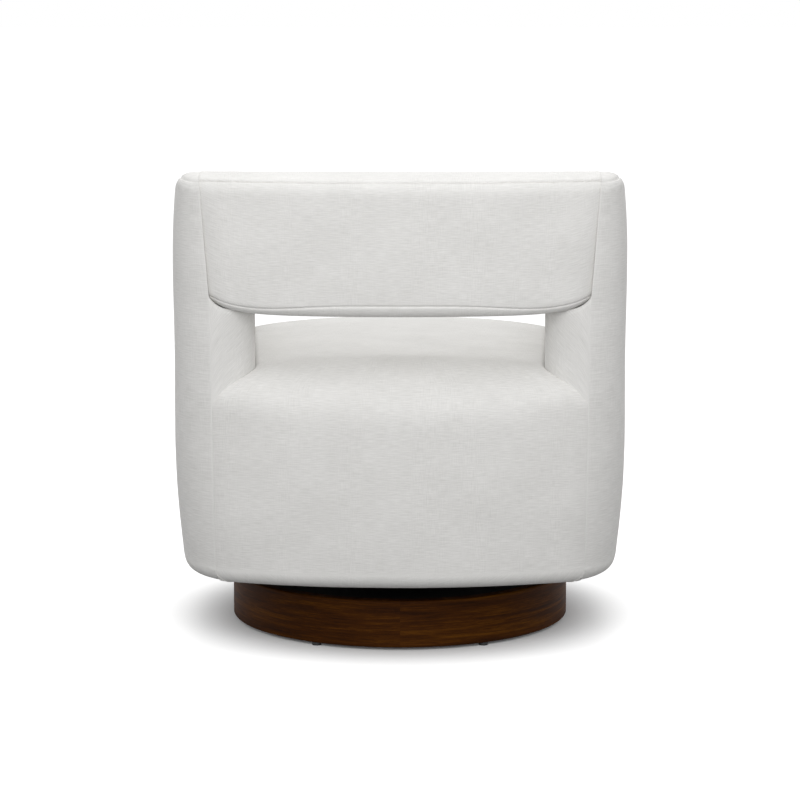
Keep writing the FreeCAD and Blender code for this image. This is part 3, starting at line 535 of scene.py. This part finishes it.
def arm_top(y):
    """Height of the arm's top: a long S of two equal arcs, from the crest to the front."""
    run, fall = (ARM_LEVEL_END + ARM_FRONT_REACH) / 2, (ARM_CREST - ARM_FRONT_HEIGHT) / 2
    radius = (run ** 2 + fall ** 2) / (2 * fall)

    def bow(distance):
        return np.sqrt(radius ** 2 - np.minimum(np.abs(distance), radius) ** 2)

    crest = ARM_CREST - radius + bow(y - ARM_LEVEL_END)
    hollow = ARM_FRONT_HEIGHT + radius - bow(y + ARM_FRONT_REACH)
    return np.where(y >= (ARM_LEVEL_END - ARM_FRONT_REACH) / 2, crest, hollow)


def under_back(points):
    """Height of the backrest's lower side over plan points of the arm."""
    x, y = points[:, 0], points[:, 1]
    rear = np.maximum(end_depth(BACK_BOTTOM + BACK_END_LIFT, x), y)
    rolls = np.hypot(drop(rear - y, BACK_LOW_ROLL), drop(y - BACK_FRONT_LOW, BACK_FRONT_LOW_ROLL))
    return BACK_BOTTOM + back_lift(x) + rolls + SHELF_BITE


def arc_points(centre, radius, first, last, steps=24):
    """Points of an arc between two angles in degrees."""
    turns = np.radians(np.linspace(first, last, steps))
    return np.column_stack([centre[0] + radius * np.cos(turns), centre[1] + radius * np.sin(turns)])


def along(points, count, power):
    """Places along one stretch of an outline, bunched towards its start or its end."""
    return spaced(np.array(points), bunched(np.linspace(0, 1, count + 1), power))


def joined(stretches):
    """One outline from the four stretches of an arm, each with its own columns."""
    rows = [along(points, *share) for points, share in zip(stretches, STRETCHES)]
    return np.vstack([rows[0]] + [row[1:] for row in rows[1:]])


def arm_plans(z):
    """Outer, lower inner and upper inner plan outlines of one arm at a height."""
    seam = float(seam_at(z)) + SOFT_GAP
    rim = barrel_side(z, seam)
    half_depth = rim[0][1]
    front_y = float(back_front(z)) - SOFT_GAP
    round_back, round_front = seam - POST_INNER_BACK, seam - POST_INNER_FRONT
    start_y, end_y = half_depth - round_back, round_front - half_depth
    turn_y = half_depth - POST_SHARE * (half_depth - front_y)
    marks = [int(np.argmax(rim[:, 1] < limit)) for limit in (turn_y, front_y, end_y)]
    outer = joined([rim[low:high + 1] for low, high in zip([0] + marks, marks + [len(rim) - 1])])
    run = walk(outer)
    tangent = np.gradient(outer, axis=0)
    normal = np.column_stack([-tangent[:, 1], tangent[:, 0]])
    normal /= np.hypot(*normal.T)[:, None]
    if normal[len(normal) // 2][0] < 0:
        normal = -normal
    outer = outer - normal * UPRIGHT_PULL * (pinch(run) + pinch(run[-1] - run))[:, None]
    first, last = outer[0], outer[-1]

    def inner_x(y):
        return np.interp(y, (end_y, start_y), (POST_INNER_FRONT, POST_INNER_BACK))

    straight = [(inner_x(y), y) for y in np.linspace(front_y, end_y, PANEL_STEPS)]
    nose = arc_points((seam, last[1] + round_front), round_front, 180, 270)
    nose[-1] = last
    post = arc_points((seam, first[1] - round_back), round_back, 90, 180)
    post[0] = first
    shank = [(inner_x(y), y) for y in np.linspace(first[1] - round_back, front_y, POST_STEPS)]
    lower = joined([post, [tuple(post[-1])] + shank[1:], straight, np.vstack([[straight[-1]], nose])])
    edge = [(seam, y) for y in np.linspace(first[1], front_y, POST_STEPS)]
    edge[0] = tuple(first)
    ledge = [(x, front_y) for x in np.linspace(seam, inner_x(front_y), POST_STEPS)]
    upper = joined([edge, ledge, straight, np.vstack([[straight[-1]], nose])])
    return outer, lower, upper


def from_outline(points, outline):
    """Distance of each point from an outline."""
    starts, ends = outline[:-1], outline[1:]
    spans = ends - starts
    lengths = np.maximum(np.sum(spans ** 2, axis=1), 1e-12)
    best = np.full(len(points), 1e9)
    for start, span, length in zip(starts, spans, lengths):
        reach = np.clip(((points - start) @ span) / length, 0, 1)
        best = np.minimum(best, np.hypot(*(points - start - reach[:, None] * span).T))
    return best


def swung(u):
    """A share of a way that starts and ends gently."""
    return (1 - math.cos(math.pi * u)) / 2


def arm(name, hand, nodes):
    """One arm's skin, laid row by row: up the outer wall, over the cap, down the inner side
    past the shelf under the backrest, and back along the sole."""
    levels = np.linspace(UNDERSIDE, ARM_CREST + 2, ARM_LEVELS)
    plans = [arm_plans(z) for z in levels]
    outer_at, lower_at, upper_at = (np.array([plan[i] for plan in plans]) for i in range(3))
    count = outer_at.shape[1]
    column = np.arange(count)

    def at(table, z):
        """Plan points of every column, each at its own height."""
        place = np.clip((z - levels[0]) / (levels[1] - levels[0]), 0, len(levels) - 1.001)
        below = place.astype(int)
        share = (place - below)[:, None]
        return table[below, column] * (1 - share) + table[below + 1, column] * share

    behind = STRETCHES[0][0] + STRETCHES[1][0]
    in_rear = column <= behind

    def top_height(points, rim, roll_line):
        """Height of the cap over plan points, and how far its rolled edges drop there."""
        fall = np.hypot(drop(from_outline(points, rim), ARM_OUTER_ROLL),
                        drop(from_outline(points, roll_line), ARM_INNER_ROLL))
        return arm_top(points[:, 1]) - fall, fall

    outer_top = np.full(count, TOP_GUESS)
    for _ in range(TOP_ROUNDS):
        rim = at(outer_at, outer_top)
        roll_line = at(upper_at, outer_top)[behind:]
        outer_top, _ = top_height(rim, rim, roll_line)
    inner_top = outer_top.copy()
    for _ in range(TOP_ROUNDS):
        inner_rim = at(upper_at, inner_top)
        inner_top, _ = top_height(inner_rim, rim, roll_line)
    for end in (0, -1):
        inner_rim[end], inner_top[end] = rim[end], outer_top[end]

    def shelf(table, guess):
        """Height at which each column meets the backrest's lower side."""
        z = np.full(count, guess)
        for _ in range(SHELF_ROUNDS):
            z = SHELF_DAMPING * z + (1 - SHELF_DAMPING) * under_back(at(table, z))
        return z

    shelf_low, shelf_high = shelf(lower_at, SHELF_LOW_GUESS), shelf(upper_at, SHELF_HIGH_GUESS)
    front_level = shelf_high[behind]
    spread = SHELF_SPREAD * np.clip((column - behind) / SHELF_GROWTH, 0, 1)
    shelf_low = np.where(in_rear, shelf_low, front_level)
    shelf_high = np.where(in_rear, shelf_high, front_level + spread)
    share_round = np.clip(column / behind, 0, 1)
    outer_low = shelf_high[0] * (1 - share_round) + front_level * share_round
    outer_high = outer_low + SHELF_SPREAD * share_round
    outer_high = np.minimum(outer_high, outer_top - SHELF_CLEAR)
    outer_low = np.minimum(outer_low, outer_high - spread)
    shelf_high = np.where(in_rear, shelf_high, np.minimum(shelf_high, inner_top - SHELF_CLEAR))
    shelf_low = np.where(in_rear, shelf_low, np.minimum(shelf_low, shelf_high - spread))
    outer_low[0] = shelf_low[0] = shelf_high[0]
    outer_high[0] = shelf_high[0]

    outer_foot = np.full(count, UNDERSIDE + FOOT_ROLL)
    foot, foot_rim = at(lower_at, outer_foot), at(outer_at, outer_foot)
    inner_foot = UNDERSIDE + drop(from_outline(foot, foot_rim), FOOT_ROLL)
    out_run, in_run = walk(foot_rim), walk(foot)
    width = np.hypot(*(inner_rim - rim).T)
    grid, cloth = [], []

    def lay(points, z, u, v):
        grid.append(np.column_stack([points, z]))
        cloth.append(np.column_stack([u, v]) * MM)

    def lay_inner(points, z):
        lay(points, z, in_run, outer_top + width + inner_top - z)

    for low, high, shares in ((outer_foot, outer_low, np.linspace(0, 1, WALL_ROWS, endpoint=False)),
                              (outer_low, outer_high, np.linspace(0, 1, SHELF_ROWS, endpoint=False)),
                              (outer_high, outer_top, np.linspace(0, 1, UPPER_ROWS))):
        for share in shares:
            z = low + (high - low) * share
            lay(at(outer_at, z), z, out_run, z)
    for u in np.linspace(0, 1, CAP_ROWS)[1:-1]:
        share = swung(u)
        points = rim + (inner_rim - rim) * share
        z, fall = top_height(points, rim, roll_line)
        z -= (CAP_PULL * pinch(np.abs(fall - ARM_SEAM_DROP) / CAP_SEAM_SLOPE)
              * np.clip(width / CAP_FULL_WIDTH, 0, 1))
        lay(points, z, out_run + (in_run - out_run) * share, outer_top + width * share)
    for share in np.linspace(1, 0, UPPER_ROWS):
        z = shelf_high + (inner_top - shelf_high) * share
        lay_inner(at(upper_at, z), z)
    low_points, high_points = at(lower_at, shelf_low), at(upper_at, shelf_high)
    for share in np.linspace(1, 0, SHELF_ROWS, endpoint=False)[1:]:
        points = low_points + (high_points - low_points) * share
        z = np.where(in_rear, under_back(points), shelf_low + (shelf_high - shelf_low) * share)
        z[0] = shelf_high[0]
        lay_inner(np.where(in_rear[:, None], points, at(upper_at, z)), z)
    for share in np.linspace(1, 0, WALL_ROWS + 1):
        z = inner_foot + (shelf_low - inner_foot) * share
        lay_inner(at(lower_at, z), z)
    for u in np.linspace(1, 0, FOOT_ROWS)[1:-1]:
        share = swung(u)
        points = foot_rim + (foot - foot_rim) * share
        z = UNDERSIDE + drop(from_outline(points, foot_rim), FOOT_ROLL)
        lay(points, z, out_run, UNDERSIDE - width * share)

    grid = np.array(grid).transpose(1, 0, 2) * (hand, 1, 1)
    piece = skin(name, grid, np.array(cloth).transpose(1, 0, 2), walled=False)
    settle(piece, ARM_UNEVENNESS, ARM_SWELL)
    upholstered(piece, nodes)


arm("left_arm", 1, ("left_arm_cover", "left_arm_foam"))
arm("right_arm", -1, ("right_arm_cover", "right_arm_foam"))


# Seat. One deep block between the arms: a crowned sitting face that rolls over the front and
# falls in a long waterfall over the open back, down to the rolled lower edge. The cloth is
# drawn down against the arms on both sides.

SEAT_HEIGHT = 473.0
SEAT_LEVEL_FRONT = 157.0
SEAT_FRONT_DROP = 85.0
SEAT_STATIONS = (0.0, 150.0, 232.0, 304.0)
SEAT_FALLS = (0.0, 4.0, 13.0, 30.0)
SEAT_REACHES = (115.0, 100.0, 75.0, 45.0)
SEAT_DROPS = (88.0, 82.0, 55.0, 26.0)
SEAT_EDGE_ROLL = 9.0
SEAT_EASE = 41
EASE_STEP = 2.0
EASE_FROM = 230.0
EASE_OVER = 60.0
SEAT_HALF_GUESS = 270.0
SEAT_HALF_CLOTH = 290.0
SEAT_ROUNDS = 30
SEAT_UNEVENNESS = 0.3
SEAT_COLUMNS = 54
SEAT_BUNCHING = 1.6
WAIST = 480.0

# Rows of each stretch round the block.
SEAT_WALK = (("rear", 70), ("waterfall", 60), ("level", 70), ("front_fall", 50), ("front", 40),
             ("front_foot", 12), ("sole", 60), ("rear_foot", 12))


def by_station(values, x):
    """Smooth run through the four stations, alike on both sides."""
    curve = np.polyfit(np.square(SEAT_STATIONS), values, 3)
    return np.polyval(curve, np.square(x))


def seat_half_width(y, z):
    """Room between the arms at a depth and height."""
    seam = seam_at(z)
    reach = end_depth(z, seam)
    round_back, round_front = seam - POST_INNER_BACK, seam - POST_INNER_FRONT
    start_y, end_y = reach - round_back, round_front - reach
    line = POST_INNER_FRONT + (POST_INNER_BACK - POST_INNER_FRONT) * (y - end_y) / (start_y - end_y)
    back = seam - np.sqrt(np.maximum(0.0, round_back ** 2 - (y - start_y) ** 2))
    front = seam - np.sqrt(np.maximum(0.0, round_front ** 2 - (y - end_y) ** 2))
    return np.where(y > start_y, back, np.where(y < end_y, front, line)) - SOFT_GAP


def seat_point(kind, share, x):
    """One point of the block's outline, a distance x off the centre line."""
    depth = end_depth(WAIST, x)
    top = SEAT_HEIGHT - by_station(SEAT_FALLS, x)
    reach, fall = by_station(SEAT_REACHES, x), by_station(SEAT_DROPS, x)
    start = -SEAT_LEVEL_FRONT
    if kind == "rear":
        z = UNDERSIDE + FOOT_ROLL + (top - fall - UNDERSIDE - FOOT_ROLL) * share
        return end_depth(z, x), z
    if kind == "waterfall":
        turn = (1 - share) * math.pi / 2
        z = top - fall * (1 - np.cos(turn))
        return end_depth(z, x) - reach * (1 - np.sin(turn)), z
    if kind == "level":
        return (depth - reach) + (start - depth + reach) * share, top
    if kind == "front_fall":
        turn = share * math.pi / 2
        z = top - SEAT_FRONT_DROP * (1 - np.cos(turn))
        return (depth + start) * (1 - np.sin(turn)) - end_depth(z, x), z
    if kind == "front":
        z = top - SEAT_FRONT_DROP + (UNDERSIDE + FOOT_ROLL - top + SEAT_FRONT_DROP) * share
        return -end_depth(z, x), z
    foot = end_depth(UNDERSIDE + FOOT_ROLL, x)
    if kind == "front_foot":
        turn = share * math.pi / 2
        return -foot + FOOT_ROLL * (1 - np.cos(turn)), UNDERSIDE + FOOT_ROLL * (1 - np.sin(turn))
    if kind == "rear_foot":
        turn = share * math.pi / 2
        return foot - FOOT_ROLL * (1 - np.sin(turn)), UNDERSIDE + FOOT_ROLL * (1 - np.cos(turn))
    return (foot - FOOT_ROLL) * (2 * share - 1), UNDERSIDE


def eased(points):
    """The block's outline with its bends softened, as thick foam softens them."""
    run = walk(points[:, 1:])
    fine = np.arange(0.0, run[-1], EASE_STEP)
    window = np.hanning(SEAT_EASE)
    window /= window.sum()
    half = len(window) // 2
    smooth = []
    for axis in range(3):
        line = np.pad(np.interp(fine, run, points[:, axis]), half, mode="edge")
        smooth.append(np.interp(run, fine, np.convolve(line, window, mode="valid")))
    share = np.clip((points[:, 2] - EASE_FROM) / EASE_OVER, 0, 1)[:, None]
    return points * (1 - share) + np.column_stack(smooth) * share


def seat_block():
    """The block's skin. Its columns spread to the room between the arms, found in rounds,
    because that room changes with the depth and height of each point."""
    shares = graded((0, 0.5, 1), (SEAT_COLUMNS,) * 2, (SEAT_BUNCHING, 1 / SEAT_BUNCHING))
    across = (2 * shares - 1)[:, None]
    stretches, roll_share = [], []
    for kind, count in SEAT_WALK:
        share = np.linspace(0, 1, count, endpoint=False)[None, :]
        x = across * SEAT_HALF_GUESS + 0 * share
        for _ in range(SEAT_ROUNDS):
            y, z = seat_point(kind, share, x)
            y, z = y + 0 * x, z + 0 * x
            x = 0.5 * x + 0.5 * across * seat_half_width(y, z)
        stretches.append(np.stack([x, y, z], axis=2))
        roll_share += [float(kind in ("waterfall", "level", "front_fall"))] * count
    block = np.concatenate(stretches, axis=1)
    cloth = []
    for column, place in enumerate(across[:, 0]):
        points = block[column] = eased(block[column])
        inward = outward(points[:, 1:])
        side = seat_half_width(points[:, 1], points[:, 2]) * (1 - abs(place))
        run = walk(points[:, 1:])
        roll = drop(side, SEAT_EDGE_ROLL) * np.array(roll_share)
        block[column, :, 1:] -= inward * (UPRIGHT_PULL * pinch(side) + roll)[:, None]
        cloth.append(np.column_stack([np.full(len(run), place * SEAT_HALF_CLOTH), run]) * MM)
    piece = skin("seat_block", block, np.array(cloth), walled=True)
    settle(piece, SEAT_UNEVENNESS)
    return piece


upholstered(seat_block(), ("seat_cover", "seat_foam"))


# Floor glides. Six moulded nylon pads nailed under the ring keep the veneer's edge off the
# floor: near black, with the fine dull grain of a spark-eroded mould.

GLIDE_GRAIN = 0.8


def textured(name, colour, other, size, height, strength, detail=3.0, **principled):
    """A finish whose fine grain shows in its colour and its relief; size and height in
    millimetres."""
    material, tree, shader = finish_of(name, **principled)
    place = add(tree, "ShaderNodeTexCoord").outputs["Object"]
    fine = add(tree, "ShaderNodeTexNoise", {
        "Vector": place, "Scale": PER_MM / size, "Detail": detail, "Roughness": 0.6}).outputs["Fac"]
    coated(tree, shader, toned(tree, fine, (0.3, colour), (0.7, other)), fine, strength, height)
    return material


dress("floor_glides", textured("moulded nylon, spark-eroded", "#1d1d1e", "#262627", GLIDE_GRAIN,
                               0.1, 0.3, Roughness=0.55))


# Plinth carcase. A birch plywood board, coloured near black as painted shade for the shadowed
# recess under the body, closes the ring over crossed braces and glue blocks of raw kiln-dried beech.

GRAIN_STRETCH = 14.0
BEECH_FIGURE = 3.0
PLY_FIGURE = 9.0
PLY_LAYER = 1.5


def timber(name, dark, light, figure, stretch, **principled):
    """Raw wood with its grain along the stretched axes; the figure's width in millimetres."""
    material, tree, shader = finish_of(name, **principled)
    place = add(tree, "ShaderNodeTexCoord").outputs["Object"]
    figured = grain(tree, place, [PER_MM / (figure * s) for s in stretch], 5.0, roughness=0.6,
                    distortion=0.4)
    coated(tree, shader, toned(tree, figured, (0.3, dark), (0.72, light)), figured, 0.25, 0.1)
    return material


def plywood(name, face_stretch, through, tones=("#c7a676", "#e0c69b", "#9a7546")):
    """Birch plywood: pale rotary-cut faces, and thin dark glue lines on its edges."""
    dark_tone, light_tone, glue_line = tones
    material = timber(name, dark_tone, light_tone, PLY_FIGURE, face_stretch, Roughness=0.7,
                      Specular_IOR_Level=0.2)
    tree = material.node_tree
    base = tree.nodes["Principled BSDF"].inputs["Base Color"]
    place = add(tree, "ShaderNodeTexCoord").outputs["Object"]
    through_place = add(tree, "ShaderNodeSeparateXYZ", {0: place}).outputs[through]
    layers = maths(tree, "MULTIPLY", through_place, PER_MM / (2 * PLY_LAYER))
    dark = maths(tree, "GREATER_THAN", maths(tree, "FRACT", layers), 0.5)
    facing = add(tree, "ShaderNodeNewGeometry").outputs["Normal"]
    through_facing = add(tree, "ShaderNodeSeparateXYZ", {0: facing}).outputs[through]
    edge = maths(tree, "LESS_THAN", maths(tree, "ABSOLUTE", through_facing), 0.5)
    mix = add(tree, "ShaderNodeMix", {
        0: maths(tree, "MULTIPLY", edge, dark), 6: base.links[0].from_socket, 7: linear(glue_line)},
        data_type="RGBA")
    tree.links.new(mix.outputs[2], base)
    return material


ALONG_X, ALONG_Y, ALONG_Z = (GRAIN_STRETCH, 1, 1), (1, GRAIN_STRETCH, 1), (1, 1, GRAIN_STRETCH)
beech = {axis: timber("raw kiln-dried beech, grain along " + axis, "#b98d60", "#d6b184",
                      BEECH_FIGURE, run, Roughness=0.75)
         for axis, run in (("x", ALONG_X), ("y", ALONG_Y), ("z", ALONG_Z))}
# The board's near-black tones are painted shade: the recess under the body lies in deep shadow.
dress("plinth_top_board", plywood("birch plywood near black as painted shade", (GRAIN_STRETCH / 2, 1, 1), "Z",
                                  ("#0c0b0a", "#171513", "#080707")))
dress("plinth_brace_side_to_side", beech["x"])
dress("plinth_brace_front_to_back", beech["y"])
dress("plinth_glue_blocks", beech["z"])


# Swivel. Two pressed steel plates in black powder coat run on a ring of hardened balls held
# apart by an acetal cage, round a riveted king pin. Screws, bolts and tee nuts are zinc plated.

POWDER_PEEL = 1.6
SPANGLE = 5.0
BALL_GLINT = 3.0
CAGE_GRAIN = 1.2

powder_coat = textured("black powder coat on pressed steel", "#151516", "#1d1d1f", POWDER_PEEL,
                       0.15, 0.4, Roughness=0.5)
zinc = textured("bright zinc plate on steel", "#b4b6b4", "#cfd0cd", SPANGLE, 0.05, 0.15, Metallic=1.0,
                Roughness=0.35)
dress("swivel_lower_plate", powder_coat)
dress("swivel_upper_plate", powder_coat)
dress("bearing_balls", textured("polished bearing steel", "#c3c4c7", "#cfd0d2", BALL_GLINT, 0.01, 0.05,
                                Metallic=1.0, Roughness=0.1))
dress("ball_cage", textured("moulded natural acetal", "#dcd7c9", "#e4e0d4", CAGE_GRAIN, 0.05, 0.2,
                            Roughness=0.45))
for name in ("king_pin", "lower_plate_screws", "upper_plate_bolts", "tee_nuts"):
    dress(name, zinc)


# Seat box. Everything above the swivel is built on a plywood base board: four beech rails on
# edge, corner blocks, and black elastic webbing stapled over them in two crossing layers.

# The rubber cores of real webbing lie 2.4 mm apart. The wave repeats at 2 pi times that, so
# the ribs are drawn about 15 mm apart.
WEB_RIB = 2.4
WAVE_TURNS = 20.0


def elastic_webbing(name, across):
    """Black woven elastic: lengthwise ribs of rubber cores under polyester yarn."""
    material, tree, shader = finish_of(name, Roughness=0.8, Sheen_Weight=0.1)
    place = add(tree, "ShaderNodeTexCoord").outputs["Object"]
    ribs = add(tree, "ShaderNodeTexWave", {
        "Vector": place, "Scale": PER_MM / WEB_RIB / WAVE_TURNS, "Distortion": 0.3},
        bands_direction=across).outputs["Fac"]
    coated(tree, shader, toned(tree, ribs, (0.0, "#1a1a1b"), (1.0, "#2f2f31")), ribs, 0.5, 0.4)
    return material


dress("base_board", plywood("raw birch plywood base board", (1, GRAIN_STRETCH / 2, 1), "Z"))
for name, axis in (("seat_rail_front", "x"), ("seat_rail_rear", "x"), ("seat_rail_left", "y"),
                   ("seat_rail_right", "y"), ("corner_blocks", "z")):
    dress(name, beech[axis])
dress("seat_webbing_long", elastic_webbing("woven elastic webbing, front to back", "X"))
dress("seat_webbing_cross", elastic_webbing("woven elastic webbing, side to side", "Y"))


# Back and arm frames. Beech posts stand on the base board and carry the back's rails and
# plywood slats; each arm is faced with hardboard, which the foam is glued to.

HARDBOARD_FELT = 1.8

hardboard = textured("smooth pressed hardboard", "#5a3e2a", "#6e4f36", HARDBOARD_FELT, 0.05, 0.2,
                     detail=6.0, Roughness=0.6)
dress("back_rail_lower", beech["x"])
dress("back_rail_upper", beech["x"])
dress("back_slats", plywood("raw birch plywood slats", (1, 1, GRAIN_STRETCH / 2), "Y"))
for side in ("left", "right"):
    dress("arm_post_rear_" + side, beech["z"])
    dress("arm_post_front_" + side, beech["z"])
    dress("arm_panel_" + side, hardboard)
    dress("arm_rail_" + side, beech["y"])


# Dust cover. Black spun-bonded polypropylene closes the underside over the turned-in cloth,
# held by a row of wire staples just inside its edge.

FIBRE = 1.1
STAPLE_PITCH = 34.0
STAPLE_CROWN = 10.0
STAPLE_WIRE = 0.9
STAPLE_INSET = 8.0
COVER_INSET = 38.0

dress("dust_cover", textured("black spun-bonded polypropylene", "#0d0d0e", "#1f1f21", FIBRE, 0.2, 0.6,
                             detail=6.0, Roughness=0.9))


def staple_row():
    """Staples spaced along the barrel's outline, drawn in from its edge."""
    rim = barrel_side(UNDERSIDE, 1.0)
    rim = np.vstack([rim, rim[::-1] * (-1, 1)])
    line = rim - outward(rim) * (COVER_INSET + STAPLE_INSET)
    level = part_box("dust_cover")[0].z * PER_MM
    path = bpy.data.curves.new("staple_line", "CURVE")
    path.dimensions = "3D"
    run = path.splines.new("POLY")
    run.points.add(len(line) - 1)
    for point, (x, y) in zip(run.points, line):
        point.co = (x * MM, y * MM, level * MM, 1)
    run.use_cyclic_u = True
    holder = bpy.data.objects.new("staple_line", path)
    bpy.context.collection.objects.link(holder)

    tree = bpy.data.node_groups.new("staples along an edge", "GeometryNodeTree")
    tree.interface.new_socket("Geometry", in_out="INPUT", socket_type="NodeSocketGeometry")
    names = (("Pitch", STAPLE_PITCH), ("Crown", STAPLE_CROWN), ("Wire", STAPLE_WIRE))
    sockets = [tree.interface.new_socket(name, in_out="INPUT", socket_type="NodeSocketFloat")
               for name, size in names]
    tree.interface.new_socket("Geometry", in_out="OUTPUT", socket_type="NodeSocketGeometry")
    given = add(tree, "NodeGroupInput")
    spaced_out = add(tree, "GeometryNodeResampleCurve", {
        "Curve": given.outputs["Geometry"], "Length": given.outputs["Pitch"]}, mode="LENGTH")
    tangent = add(tree, "GeometryNodeInputTangent")
    facing = add(tree, "FunctionNodeAlignRotationToVector", {"Vector": tangent.outputs[0]}, axis="X")
    size = add(tree, "ShaderNodeCombineXYZ", {
        0: given.outputs["Crown"], 1: given.outputs["Wire"], 2: given.outputs["Wire"]})
    crown = add(tree, "GeometryNodeMeshCube", {"Size": size.outputs[0]})
    placed = add(tree, "GeometryNodeInstanceOnPoints", {
        "Points": spaced_out.outputs[0], "Instance": crown.outputs[0], "Rotation": facing.outputs[0]})
    real = add(tree, "GeometryNodeRealizeInstances", {0: placed.outputs[0]})
    plated = add(tree, "GeometryNodeSetMaterial", {"Geometry": real.outputs[0], "Material": zinc})
    add(tree, "NodeGroupOutput", {0: plated.outputs[0]})

    made = holder.modifiers.new("staples", "NODES")
    made.node_group = tree
    for socket, (name, size) in zip(sockets, names):
        made[socket.identifier] = size * MM
    bpy.context.view_layer.update()
    plain = bpy.data.meshes.new_from_object(holder.evaluated_get(bpy.context.evaluated_depsgraph_get()))
    bpy.data.objects.remove(holder)
    return bpy.data.objects.new("dust_cover_staples", plain)


staples = staple_row()
bpy.context.collection.objects.link(staples)
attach(staples, "chair")


# Studio. The chair stands on a white card under a white dome, a wide softbox overhead and a
# second one high on the camera's side; the camera looks at the open back from above it.

CAMERA_PLACE = (0.0, 6.133, 1.4047)
CAMERA_PITCH = 80.34
CAMERA_LENS = 168.75
SENSOR = 36.0
FLOOR_HALF = 14.0
GLOW_START = 0.25
GLOW_FULL = 0.42
DOME_LIGHT = 0.75
FLOOR_BOUNCE = "#8c8c8c"
FLOOR_WHITE = "#ececec"
FLOOR_GLOW = 0.04
FAR_GLOW = 0.5

camera = bpy.data.objects.new("camera", bpy.data.cameras.new("camera"))
camera.data.lens = CAMERA_LENS
camera.data.sensor_width = SENSOR
camera.location = CAMERA_PLACE
camera.rotation_euler = (math.radians(CAMERA_PITCH), 0.0, math.pi)
bpy.context.collection.objects.link(camera)
bpy.context.scene.camera = camera
bpy.context.scene.view_settings.view_transform = "Standard"


def by_the_eye(tree):
    """1 for what the camera sees, also in a mirror or through glass, and 0 for cast light."""
    path = add(tree, "ShaderNodeLightPath").outputs
    seen = maths(tree, "MAXIMUM", path["Is Camera Ray"], path["Is Glossy Ray"])
    return maths(tree, "MAXIMUM", seen, path["Is Transmission Ray"])


def white_floor():
    """Matt card: pale grey to the lamps, so that it throws little light up under the chair;
    seen by the eye it is white, and it glows away from the chair, where the lamps fall off."""
    material, tree, shader = finish_of("matt studio card", Roughness=0.9, Specular_IOR_Level=0.0,
                                       Emission_Color=(1.0, 1.0, 1.0, 1.0))
    seen = by_the_eye(tree)
    shade = add(tree, "ShaderNodeMix", {0: seen, 6: linear(FLOOR_BOUNCE), 7: linear(FLOOR_WHITE)},
                data_type="RGBA")
    tree.links.new(shade.outputs[2], shader.inputs["Base Color"])
    place = add(tree, "ShaderNodeTexCoord").outputs["Object"]
    away = add(tree, "ShaderNodeVectorMath", {0: place}, operation="LENGTH").outputs["Value"]
    rise = add(tree, "ShaderNodeMapRange", {
        "Value": away, "From Min": GLOW_START, "From Max": GLOW_FULL, "To Min": FLOOR_GLOW,
        "To Max": FAR_GLOW}, interpolation_type="SMOOTHSTEP").outputs[0]
    tree.links.new(maths(tree, "MULTIPLY", seen, rise), shader.inputs["Emission Strength"])
    return material


card = bpy.data.meshes.new("studio_floor")
card.from_pydata([(x * FLOOR_HALF, y * FLOOR_HALF, 0) for x, y in ((-1, -1), (1, -1), (1, 1), (-1, 1))],
                 [], [(0, 1, 2, 3)])
card.materials.append(white_floor())
floor = bpy.data.objects.new("studio_floor", card)
bpy.context.collection.objects.link(floor)

world = bpy.data.worlds.new("white dome")
world.use_nodes = True
bpy.context.scene.world = world
sky = world.node_tree
background = sky.nodes["Background"]
level = add(sky, "ShaderNodeMapRange", {"Value": by_the_eye(sky), "To Min": DOME_LIGHT, "To Max": 1.0})
sky.links.new(level.outputs[0], background.inputs["Strength"])
background.inputs["Color"].default_value = (1.0, 1.0, 1.0, 1.0)


def softbox(name, place, aim, width, power):
    """A round lamp of a width in metres and a power in watts, turned towards a point."""
    lamp = bpy.data.lights.new(name, "AREA")
    lamp.shape = "DISK"
    lamp.size = width
    lamp.energy = power
    holder = bpy.data.objects.new(name, lamp)
    holder.location = place
    away = Vector(place) - Vector(aim)
    holder.rotation_euler = away.to_track_quat("Z", "Y").to_euler()
    bpy.context.collection.objects.link(holder)


softbox("overhead_softbox", (0.0, -1.1, 2.5), (0.0, 0.0, 0.4), 2.2, 20.0)
softbox("key_softbox", (0.0, 3.3, 2.0), (0.0, 0.0, 0.5), 2.6, 50.0)

bpy.context.view_layer.update()
